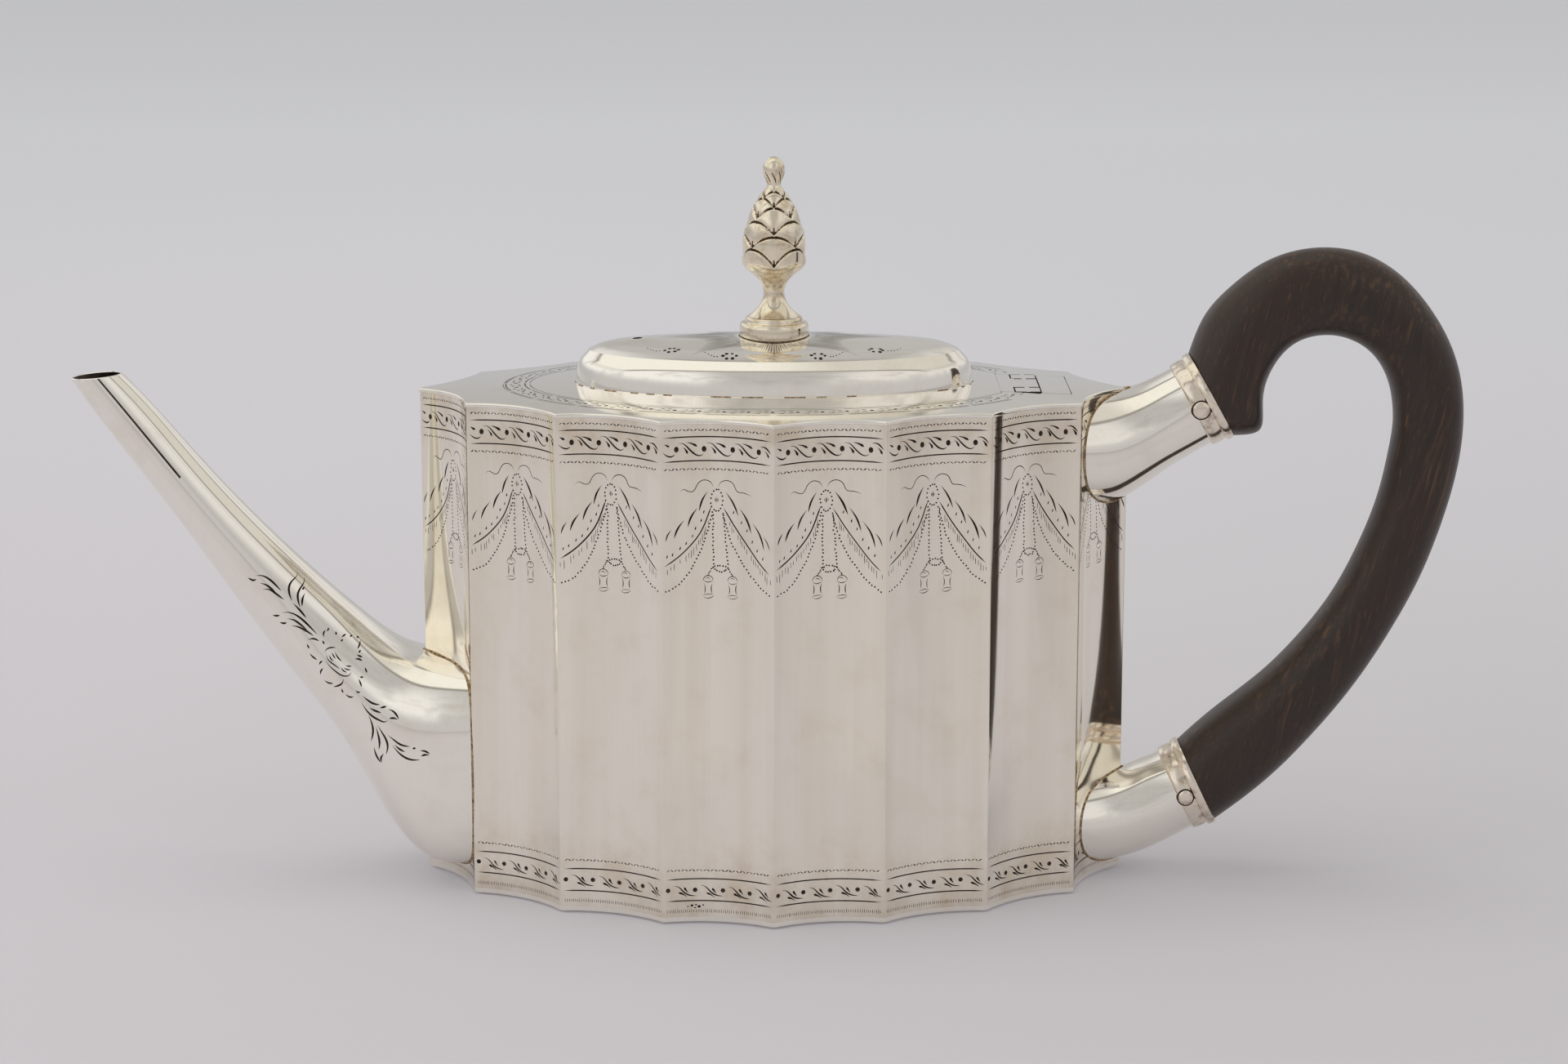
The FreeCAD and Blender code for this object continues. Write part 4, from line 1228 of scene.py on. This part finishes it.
def spoutRings():
    mouth = Vector((-drum["halfLength"] - spout["reach"], drum["height"] + spout["mouthRise"]))
    root = Vector((-drum["halfLength"], spout["rootLift"]))
    rootHalf, rootHeight = abs(ribs[1].y) + 0.05, spout["rootHeight"]
    first = (0.0, spout["mouthLength"] / rootHeight, spout["mouthLean"], spout["mouthWidth"] / 2 / rootHalf, 2.0)
    rings = []
    for share, height, lean, width, square in [first] + spout["sections"]:
        low = mouth + (root - mouth) * share
        half = height * rootHeight / 2
        turn = math.radians(lean)
        rings.append((low.x + half * math.cos(turn), low.y + half * math.sin(turn), half, width * rootHalf,
                      lean, square))
    rings.append((root.x + spout["rootDepth"], root.y + rootHeight / 2 - spout["rootFall"], rootHeight / 2, rootHalf,
                  90.0, spout["rootSquareness"]))
    return rings


# Points or normals of a tube's skin, which runs at each turn to an end of its own
def tubeRows(at, ends, turns, shares):
    return [[at(end * share, turn) for end, turn in zip(ends, turns)] for share in shares]


# Where a tube meets the wall: the distance along it at which it is a given depth inside the sheet
def meetsWall(spot, length, turn, depth, fromRoot):
    low, high = (0.5 * length, length) if fromRoot else (0.0, length)
    for _ in range(40):
        middle = (low + high) / 2
        p = spot(middle, turn)
        if wallDepth(p.x, p.y) > depth:
            high = middle
        else:
            low = middle
    return (low + high) / 2


# Engraved spray on both sides of the spout, seen from its side as (along X, along Z) from the flower's middle
spray = {"middle": (-88.3, 46.3), "leafCut": 0.44, "petalCut": 0.38, "budCut": 0.3}
sprayLeaves = [
    [(-16.3, 16.5), (-15.0, 16.6), (-13.3, 15.8), (-12.0, 14.6), (-10.9, 13.4)],
    [(-17.8, 16.1), (-17.1, 15.8), (-16.7, 15.6), (-15.9, 15.9)],
    [(-15.3, 15.1), (-14.0, 14.7), (-12.9, 13.9), (-12.0, 13.1)],
    [(-14.8, 13.8), (-13.5, 13.8), (-12.1, 13.0), (-10.4, 11.7)],
    [(-7.9, 16.9), (-8.0, 16.2), (-8.8, 15.4), (-9.4, 14.4), (-9.4, 13.1), (-8.8, 11.4)],
    [(-6.7, 15.9), (-6.6, 14.9), (-7.2, 13.9), (-7.7, 12.7), (-7.6, 11.5), (-7.2, 10.1)],
    [(-6.4, 14.0), (-6.9, 13.5)], [(-6.3, 12.9), (-6.7, 12.0), (-6.8, 10.3)],
    [(-8.7, 11.1), (-7.5, 9.9), (-5.9, 8.0)],
    [(-12.9, 8.5), (-12.0, 8.4), (-11.3, 8.55)],
    [(-11.1, 9.0), (-10.0, 9.2), (-8.3, 8.8), (-6.8, 7.8), (-5.6, 6.7), (-3.7, 4.8)],
    [(-10.0, 7.9), (-8.6, 7.7), (-7.3, 6.9), (-5.8, 5.7)],
    [(-11.5, 7.1), (-10.6, 6.9), (-9.9, 7.1)], [(-9.2, 6.5), (-8.1, 6.4), (-6.3, 5.7), (-4.4, 4.5)],
    [(5.4, -6.9), (6.6, -7.8), (7.8, -8.4), (9.2, -8.5)], [(9.0, -9.2), (10.5, -8.75)],
    [(10.7, -9.3), (12.0, -9.8), (12.6, -10.5), (13.0, -11.2)], [(12.8, -11.3), (12.0, -11.0), (10.9, -11.2)],
    [(5.2, -8.2), (6.2, -9.7), (7.6, -11.0), (9.1, -11.7), (10.1, -11.9), (10.7, -11.5)],
    [(6.8, -9.2), (8.1, -9.8), (9.4, -10.1)],
    [(6.6, -10.6), (7.3, -12.2), (7.6, -13.8), (7.1, -16.2)],
    [(7.7, -17.2), (8.0, -18.6), (8.6, -19.8), (9.1, -20.5)],
    [(8.2, -12.9), (8.7, -14.8), (8.9, -16.5), (8.7, -17.8)],
    [(8.5, -12.5), (9.4, -14.0), (10.2, -15.3), (10.6, -16.8), (10.2, -18.6)],
    [(9.8, -18.4), (9.1, -19.5), (9.25, -20.4)],
    [(10.6, -14.5), (11.9, -15.4), (13.4, -16.3), (15.3, -16.5)], [(15.7, -16.95), (16.4, -16.7)],
    [(17.2, -17.2), (18.3, -17.3), (19.3, -17.8)], [(19.2, -18.1), (18.4, -18.0), (17.4, -18.4)],
    [(11.5, -16.4), (12.5, -17.6), (13.9, -18.7), (15.4, -19.2), (17.3, -19.1)],
    [(12.0, -16.3), (12.9, -17.1), (14.2, -17.7)],
]
sprayPetals = [
    [(-2.4, 4.3), (-2.5, 5.0), (-2.1, 5.7)], [(-1.8, 5.4), (-1.4, 6.1)], [(-0.1, 5.4), (0.1, 4.7)],
    [(1.1, 4.2), (1.5, 4.5), (2.0, 4.8)], [(2.7, 4.2), (3.2, 4.5)], [(1.0, 3.4), (1.4, 3.9)], [(4.0, 4.2), (4.5, 3.9)],
    [(4.8, 3.5), (4.7, 2.7), (4.3, 1.9)], [(5.0, 1.8), (4.6, 1.2)], [(-5.7, 3.7), (-4.8, 4.0), (-3.3, 3.5)],
    [(-5.9, 2.9), (-5.4, 1.9)], [(-5.4, 1.0), (-4.7, 0.3), (-3.8, -0.3)], [(-2.7, 3.7), (-2.3, 2.9)],
    [(-3.4, -1.3), (-3.2, -0.8), (-2.7, -0.4)], [(-3.2, -3.4), (-3.1, -2.5), (-2.6, -1.9)],
    [(-2.5, -4.4), (-1.5, -4.9), (-0.5, -4.9)], [(1.6, -3.7), (1.3, -4.7), (0.4, -5.3), (-0.6, -5.6)],
    [(1.1, -5.8), (1.5, -6.7)], [(1.9, -6.8), (2.8, -7.4), (3.7, -7.3)], [(4.2, -5.9), (4.4, -6.3), (5.1, -6.2)],
    [(4.6, -3.6), (5.1, -4.5), (5.3, -5.3)], [(4.9, -3.3), (5.7, -3.3)], [(5.9, -1.4), (6.4, -2.5)],
    [(3.8, 0.1), (4.7, 0.1), (5.4, -0.3)], [(4.2, 0.9), (5.4, 0.4)],
]
sprayBud = [
    [(-2.3, 1.3), (-1.9, 1.9), (-1.0, 2.3), (0.1, 2.3)],
    [(-2.1, -0.1), (-1.5, -1.1), (0.0, -2.4), (1.5, -3.2), (2.8, -3.0), (3.3, -2.2)],
    [(-1.9, 1.1), (-1.7, 0.1), (-0.6, -0.9), (0.9, -1.9)], [(-1.3, 0.9), (-1.0, 0.1), (-0.4, -0.4)],
    [(-0.8, 1.4), (-0.4, 0.6), (0.0, 0.1)], [(-0.2, 1.6), (0.3, 0.6), (1.3, -0.4)],
    [(1.1, -1.5), (1.5, -2.1), (2.3, -2.5)], [(1.6, -1.5), (2.3, -1.9), (3.1, -1.95)], [(2.0, -1.2), (3.3, -1.3)],
]


def sprayStrokes():
    middleX, middleZ = spray["middle"]
    strokes = []
    for lines, width in ((sprayLeaves, "leafCut"), (sprayPetals, "petalCut"), (sprayBud, "budCut")):
        strokes += [([(middleX + x, middleZ + z) for x, z in line], spray[width], "blade") for line in lines]
    return strokes


# Bead of solder along a closed seam
def seamBead(stock, path, size, slot, sides=7):
    rows = [[] for _ in range(sides)]
    for i, p in enumerate(path):
        ahead = (path[(i + 1) % len(path)] - path[i - 1]).normalized()
        side = ahead.cross(Vector((math.copysign(1, p.x), 0, 0))).normalized()
        lift = side.cross(ahead).normalized()
        for row, t in zip(rows, turnsOf(sides)):
            row.append(p + (side * math.cos(t) + lift * math.sin(t)) * size)
    stock.grid(rows + rows[:1], slot, closed=True)


def makeSpout():
    stock = Stock()
    spot, normal, length, curves = makeTube(spoutRings())
    around, wall = spout["around"], spout["wall"]
    turns, shares = turnsOf(around), evenly(0.0, 1.0, spout["steps"])
    ends = [meetsWall(spot, length, t, drum["solderDepth"], True) for t in turns]
    rows, normals = tubeRows(spot, ends, turns, shares), tubeRows(normal, ends, turns, shares)
    # the spray's patch on either side, and a dark line down each side below the mouth that is a painted reflection in
    # the oxide material, are left out of the plain skin
    (firstRow, lastRow), edgeTurn = spout["patchRows"], spout["patchTurn"]
    sides = [(edgeTurn, around // 2 - edgeTurn), (around // 2 + edgeTurn, around - edgeTurn)]
    paintedReflectionTurns, paintedReflectionRows = (spout["paintedReflectionTurn"], around - 1 - spout["paintedReflectionTurn"]), spout["paintedReflectionRows"]

    def leftOut(i, j):
        engraved = firstRow <= i < lastRow and any(a <= j < b for a, b in sides)
        return engraved or i < paintedReflectionRows and j in paintedReflectionTurns

    stock.grid(rows, 0, normals, closed=True, flip=True, skip=leftOut)
    # painted reflection: the dark lines down the spout's sides, from the mouth
    stock.grid(rows[:paintedReflectionRows + 1], 3, normals, closed=True, flip=True, skip=lambda i, j: j not in paintedReflectionTurns)

    # finds the spot of the skin that is seen at (x, z) from the side
    def sideways(mirror):
        def place(x, z):
            low, high = 0.0, length
            for _ in range(32):
                w = (low + high) / 2
                lean = math.radians(curves[4](w))
                if (x - curves[0](w)) * math.sin(lean) - (z - curves[1](w)) * math.cos(lean) > 0:
                    low = w
                else:
                    high = w
            along = ((x - curves[0](w)) * math.cos(lean) + (z - curves[1](w)) * math.sin(lean)) / curves[2](w)
            level = math.copysign(min(1.0, abs(along)) ** (curves[5](w) / 2), along)
            turn = math.acos(-level)
            turn = 2 * math.pi - turn if mirror else turn
            return spot(w, turn), normal(w, turn)
        return place

    span = range(firstRow, lastRow + 1)
    for mirror, (a, b) in enumerate(sides):
        ring = [rows[firstRow][j] for j in range(a, b + 1)] + [rows[i][b] for i in span[1:]]
        ring += [rows[lastRow][j] for j in range(b - 1, a - 1, -1)] + [rows[i][a] for i in reversed(span[1:-1])]
        free = [(rows[i][j].x, rows[i][j].z) for i in span[1:-1] for j in range(a + 1, b)]
        engrave(stock, [(p.x, p.z) for p in ring], free, sprayStrokes(), sideways(mirror), 0, 3, flip=bool(mirror))
    inner = [[spot(end * f, t, wall * min(1.0, 0.5 + 3 * f)) for end, t in zip(ends, turns)] for f in shares]
    stock.grid(inner, 2, closed=True)
    lip = [[a.lerp(b, share) + up * rise for a, b in zip(rows[0], inner[0])]
           for share, rise in ((0, 0), (0.3, 0.1), (0.7, 0.1), (1, 0))]
    stock.grid(lip, 0, closed=True)
    seamBead(stock, [spot(meetsWall(spot, length, t, 0.0, True), t) for t in turns], spout["bead"], 1)
    stock.build("straight_spout", [sheetSilver, solderOxide, teaStain, cutOxideAndPaintedReflection], "pot", ["spout"])


makeSpout()


# Handle sockets, their collars and rivets
socket = {"sheet": 0.9, "radius": 8.5, "waist": 7.0, "flare": 0.5, "throat": 3.0, "throatShare": 0.84,
          "rootDepth": 11.0, "around": 72, "steps": 40, "bead": 0.26, "collarLip": 2.1, "collarBand": 2.7,
          "lipRadius": 9.65, "bandRadius": 9.15, "rivetSetback": 3.4, "rivetHalf": 9.0, "rivetRadius": 1.1}
upperEnd = {"name": "upper", "x": 88.0, "z": 98.7, "tilt": 29.6, "rootZ": 88.3, "rootHeight": 22.6,
            "rootWidth": 27.0, "rivetHead": 1.7}
lowerEnd = {"name": "lower", "x": 86.75, "z": 18.5, "tilt": 25.5, "rootZ": 11.0, "rootHeight": 18.6,
            "rootWidth": 24.0, "rivetHead": 1.5}


def makeSocket(end):
    name, tilt, radius = end["name"], end["tilt"], socket["radius"]
    axis = Vector((math.cos(math.radians(tilt)), 0, math.sin(math.radians(tilt))))
    rim = Vector((end["x"], 0, end["z"]))
    length = socket["collarLip"] + socket["collarBand"]
    flared = radius + socket["flare"]
    rings = []
    for back, half, lean in ((0.0, radius, tilt), (length * 0.5, radius, tilt), (length, radius, tilt),
                             (length + socket["waist"], flared, tilt / 2)):
        p = rim - axis * back
        rings.append((p.x, p.z, half, half, 90 + lean, 2.0))
    for setback, share in ((socket["throat"], socket["throatShare"]), (socket["rootDepth"], 1.0)):
        rings.append((drum["halfLength"] - setback, end["rootZ"], end["rootHeight"] / 2,
                      end["rootWidth"] / 2 * share, 90.0, 2.0))
    spot, normal, total, _ = makeTube(rings)

    def innerSpot(w, turn):
        return spot(w, turn, socket["sheet"])

    stock = Stock()
    turns, shares = turnsOf(socket["around"]), evenly(0.0, 1.0, socket["steps"])
    ends = [meetsWall(spot, total, t, drum["solderDepth"], False) for t in turns]
    rows = tubeRows(spot, ends, turns, shares)
    stock.grid(rows, 0, tubeRows(normal, ends, turns, shares), closed=True)
    stock.grid([rows[0], [innerSpot(0.0, t) for t in turns]], 0, closed=True, flip=True)
    stock.grid(tubeRows(innerSpot, ends, turns, shares[::5]), 0, closed=True, flip=True)
    seamBead(stock, [spot(meetsWall(spot, total, t, 0.0, False), t) for t in turns], socket["bead"], 1)
    stock.build(name + "_flared_socket", [sheetSilver, solderOxide], "pot", [name + "_socket"])

    collar = Stock()
    lip, band, inside = socket["lipRadius"], socket["bandRadius"], radius - 0.02
    profile = [(-4.8, inside), (-4.78, inside + 0.25), (-4.62, band - 0.22), (-4.3, band - 0.05), (-3.6, band + 0.02),
               (-2.4, band), (-2.05, band - 0.12), (-1.85, lip - 0.62), (-1.6, lip - 0.2), (-1.2, lip - 0.02),
               (-0.5, lip), (-0.12, lip - 0.1), (0.0, lip - 0.35), (0.0, inside)]
    lathe(collar, profile, rim, axis, count=96, capStart=False, capEnd=False)
    collar.build(name + "_moulded_collar", [wornSilver, solderOxide], "pot", [name + "_collar"])

    rivet = Stock()
    centre = rim - axis * socket["rivetSetback"]
    r = end["rivetHead"]
    for side in (-1, 1):
        way = Vector((0, side, 0))
        seat = centre + way * (band - 0.12)
        lathe(rivet, [(0.0, r + 0.28), (0.14, r + 0.28), (0.16, r - 0.1)], seat, way, slot=1, count=40)
        head = [(0.1, r), (0.28, r), (0.42, r - 0.1), (0.54, r - 0.35), (0.62, r * 0.5), (0.64, 0.02)]
        lathe(rivet, head, seat, way, count=40)
    shank = [(-socket["rivetHalf"], socket["rivetRadius"]), (socket["rivetHalf"], socket["rivetRadius"])]
    lathe(rivet, shank, centre, Vector((0, 1, 0)), count=24)
    rivet.build(name + "_rivet", [wornSilver, cutOxideAndPaintedReflection], "pot", [name + "_pin"])


makeSocket(upperEnd)
makeSocket(lowerEnd)


# Wooden handle: outer and inner edge as (past the body's end, above the lower rim)
handle = {"upperEnd": 9.5, "lowerEnd": 9.0, "endHalfWidth": 9.0, "halfWidth": 7.0, "swellStations": 4,
          "squareness": 2.25, "around": 64, "steps": 220,
          "stations": [((14.7, 95.8), (26.3, 73.1)), ((19.9, 101.9), (26.7, 79.0)), ((26.3, 106.7), (28.3, 85.3)),
                       ((33.3, 109.3), (33.0, 90.7)), ((40.1, 109.8), (39.5, 92.3)), ((47.0, 108.4), (44.7, 91.1)),
                       ((53.6, 104.5), (48.5, 88.5)), ((60.1, 97.4), (51.4, 84.3)), ((65.1, 88.2), (52.9, 79.3)),
                       ((67.2, 77.4), (53.3, 74.5)), ((66.5, 66.0), (52.5, 68.0)), ((63.7, 54.4), (50.5, 58.7)),
                       ((59.5, 42.7), (47.0, 49.1)), ((54.0, 31.8), (42.1, 39.3)), ((46.6, 20.0), (35.5, 30.2)),
                       ((38.0, 9.2), (28.2, 22.5)), ((28.9, -0.2), (18.7, 14.7))]}


def makeHandle():
    def endRing(end, half, turn):
        return end["x"], end["z"], half, handle["endHalfWidth"], turn + end["tilt"], 2.0

    rings = [endRing(upperEnd, handle["upperEnd"], 90)]
    last = len(handle["stations"]) - 1
    corner = Vector((drum["halfLength"], lowerEnd["z"]))
    for i, (outer, inner) in enumerate(handle["stations"]):
        far, near = corner + Vector(outer), corner + Vector(inner)
        middle, span = (far + near) / 2, far - near
        lean = math.degrees(math.atan2(span.y, span.x))
        swell = max(0.0, 1 - (min(i, last - i) + 1) / handle["swellStations"])
        half = handle["halfWidth"] + (handle["endHalfWidth"] - handle["halfWidth"]) * swell
        rings.append((middle.x, middle.y, span.length / 2, half, lean, handle["squareness"]))
    rings.append(endRing(lowerEnd, handle["lowerEnd"], -90))
    spot, _, length, _ = makeTube(rings)
    stock = Stock()
    rows = [[spot(w, t) for t in turnsOf(handle["around"])] for w in evenly(0.0, length, handle["steps"])]
    stock.grid(rows, 0, closed=True, flip=True)
    stock.cap(rows[0], 0)
    stock.cap(rows[-1], 0, flip=True)
    stock.build("scrolled_wood_handle", [ebonisedWood], "pot", ["handle"], sharp=60)


makeHandle()

# These pieces hardly show, and keep the CAD model's shape
for plain in ("base_plate", "lid_rest_ring", "hinge_gutter", "hinge_pin", "finial_stud", "finial_washer", "finial_nut"):
    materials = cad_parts[plain].data.materials
    materials.clear()
    materials.append(sheetSilver)
print("pieces made")


# Floor, light and camera
# Seamless paper, darker towards the right, which is painted shade, and lighter and cooler far away, where the
# paint makes up for the lamps' light falling off; nearer than the frame's lower edge it carries painted light and
# shade, light and dark by turns round the pot, for the silver to mirror: (direction from the pot in degrees, colour)
stage = {"floor": "#cdcad0", "right": "#c6c4c9", "reach": 170.0, "far": "#e0e2e9", "farFrom": 150.0,
         "farFull": 1500.0, "roughness": 0.7, "specular": 0.1, "span": 12.0, "drop": 0.5, "nearFrom": -125.0,
         "nearFull": -165.0,
         "near": [(-90, "#c5c2c6"), (-60, "#cbc8cc"), (-30, "#cbc8cc"), (-14, "#cfccd0"), (1, "#ccc9cd"),
                  (6, "#d0cdd1"), (11, "#cbc8cc"), (35, "#c9c6ca"), (60, "#bfbcc0"), (90, "#c2bfc3")]}


def makeFloor():
    mesh = bpy.data.meshes.new("studio_floor")
    half, z = stage["span"] / 2, -stage["drop"] * mm
    mesh.from_pydata([(-half, -half, z), (half, -half, z), (half, half, z), (-half, half, z)], [], [(0, 1, 2, 3)])
    material, tree, shader, place = newMaterial("mattStudioPaperWithPaintedLight")
    x, y, _ = addNode(tree, "SeparateXYZ", [place]).outputs
    # painted shade: the paper darkens towards the right
    wide = fade(tree, x, (-stage["reach"] * mm, stage["reach"] * mm), stage["floor"], stage["right"])
    # painted light: the far paper is lighter, to make up for the lamps' light falling off there
    tone = fade(tree, y, (stage["farFrom"] * mm, stage["farFull"] * mm), wide, stage["far"])
    # painted light and shade: near the pot the paper is lighter and darker by turns with the direction from it, for the
    # silver to mirror
    back = addNode(tree, "Math", [y, -1.0], operation="MULTIPLY").outputs[0]
    turn = addNode(tree, "Math", [x, back], operation="ARCTAN2").outputs[0]
    around = addNode(tree, "MapRange", [turn, -math.pi / 2, math.pi / 2]).outputs[0]
    stops = [((angle + 90) / 180, colour) for angle, colour in stage["near"]]
    near = addNode(tree, "ValToRGB", [around], stops).outputs["Color"]
    edge = (stage["nearFull"] * mm, stage["nearFrom"] * mm, 1.0, 0.0)
    feed(tree, shader, {"Base Color": fade(tree, y, edge, tone, near, "SMOOTHSTEP"),
                        "Roughness": stage["roughness"], "Specular IOR Level": stage["specular"]})
    mesh.materials.append(material)
    floor = bpy.data.objects.new("studio_floor", mesh)
    bpy.context.scene.collection.objects.link(floor)


# White cloth tent: grey near the floor, bright at the sides, with soft folds and a warm strip light overhead
# in a dark rim
tent = {"lowFront": "#c6c4c4", "lowBack": "#bcbcbe", "lowTurn": (-0.25, 0.25), "ahead": "#bdbcbb",
        "left": "#f6f5f3", "right": "#e4e2e0", "sideTurn": (-0.1, 0.1), "side": (0.16, 0.46),
        "fold": "#a9a5a1", "foldRange": (0.5, 0.66, 0.0, 0.35), "folds": (7.0, 7.0, 1.5), "rise": (0.06, 0.3),
        "strip": "#f7f5ec", "stripRight": "#d6d3cb", "stripTurn": (-0.1, 0.25), "rim": "#98948e",
        "stripMiddle": 0.03, "stripHalf": 0.31, "rimHalf": 0.4, "stripSoft": 0.07, "overhead": (0.35, 0.65)}


def makeWorld():
    world = bpy.data.worlds.new("softTent")
    bpy.context.scene.world = world
    world.use_nodes = True
    tree = world.node_tree
    tree.nodes.clear()
    way = addNode(tree, "TexCoord").outputs["Generated"]
    x, y, z = addNode(tree, "SeparateXYZ", [way]).outputs
    soft = "SMOOTHSTEP"
    low = fade(tree, y, tent["lowTurn"], tent["lowFront"], tent["lowBack"], soft)
    flanks = fade(tree, x, tent["sideTurn"], tent["left"], tent["right"], soft)
    aside = addNode(tree, "Math", [x], operation="ABSOLUTE").outputs[0]
    walls = fade(tree, aside, tent["side"], tent["ahead"], flanks, soft)
    stretched = addNode(tree, "Mapping", {"Vector": way, "Scale": tent["folds"]}).outputs[0]
    folds = addNode(tree, "TexNoise", {"Vector": stretched, "Scale": 1.0, "Detail": 2.0}).outputs["Fac"]
    roof = fade(tree, folds, tent["foldRange"], walls, tent["fold"], soft)
    past = addNode(tree, "Math", [y, tent["stripMiddle"]], operation="SUBTRACT").outputs[0]
    fromStrip = addNode(tree, "Math", [past], operation="ABSOLUTE").outputs[0]
    overhead = addNode(tree, "MapRange", [z, *tent["overhead"]], interpolation_type=soft).outputs[0]
    strip = fade(tree, x, tent["stripTurn"], tent["strip"], tent["stripRight"], soft)
    for half, colour in ((tent["rimHalf"], tent["rim"]), (tent["stripHalf"], strip)):
        edge = [fromStrip, half, half + tent["stripSoft"]]
        outside = addNode(tree, "MapRange", edge, interpolation_type=soft).outputs[0]
        within = addNode(tree, "Math", [overhead, outside], operation="SUBTRACT", use_clamp=True).outputs[0]
        layer = {"Factor": within, "A": roof, "B": colour}
        roof = addNode(tree, "Mix", layer, data_type="RGBA").outputs["Result"]
    tone = fade(tree, z, tent["rise"], low, roof, soft)
    light = addNode(tree, "Background", {"Color": tone, "Strength": 1.0})
    addNode(tree, "OutputWorld", {"Surface": light.outputs[0]})


# The shadowless lamp stands for the light that the silver throws back on the floor
softboxes = [
    {"name": "leftSoftbox", "from": (-2.2, -0.6, 1.6), "size": (1.0, 1.0), "power": 4.0, "shadow": True},
    {"name": "rightSoftbox", "from": (2.2, -0.6, 1.6), "size": (1.0, 1.0), "power": 3.0, "shadow": True},
    {"name": "topSoftbox", "from": (0.0, 0.15, 1.3), "size": (0.9, 0.7), "power": 1.6, "shadow": True},
    {"name": "silverThrowBack", "from": (0.0, 0.15, 1.3), "size": (0.9, 0.7), "power": 5.0, "shadow": False},
]
lampAim = Vector((0, 0, 0.06))


def makeLights():
    for box in softboxes:
        lamp = bpy.data.lights.new(box["name"], "AREA")
        lamp.shape = "RECTANGLE"
        lamp.size, lamp.size_y = box["size"]
        lamp.energy = box["power"]
        lamp.use_shadow = box["shadow"]
        piece = bpy.data.objects.new(box["name"], lamp)
        piece.location = box["from"]
        piece.rotation_euler = (lampAim - Vector(box["from"])).to_track_quat("-Z", "Y").to_euler()
        piece.visible_glossy = False   # the silver mirrors the tent, not the lamps behind it
        bpy.context.scene.collection.objects.link(piece)


# The photograph's viewpoint, looking a little down
view = {"place": (2.0, -736.0, 227.0), "pitch": 12.018, "lens": 85.18}


def makeCamera():
    lens = bpy.data.cameras.new("studioCamera")
    lens.sensor_width = 36.0
    lens.lens = view["lens"]
    lens.clip_start = 0.01
    camera = bpy.data.objects.new("studioCamera", lens)
    camera.location = Vector(view["place"]) * mm
    camera.rotation_euler = (math.radians(90 - view["pitch"]), 0, 0)
    bpy.context.scene.collection.objects.link(camera)
    bpy.context.scene.camera = camera


makeFloor()
makeWorld()
makeLights()
makeCamera()
bpy.context.scene.view_settings.view_transform = "Standard"

print("scene ready")
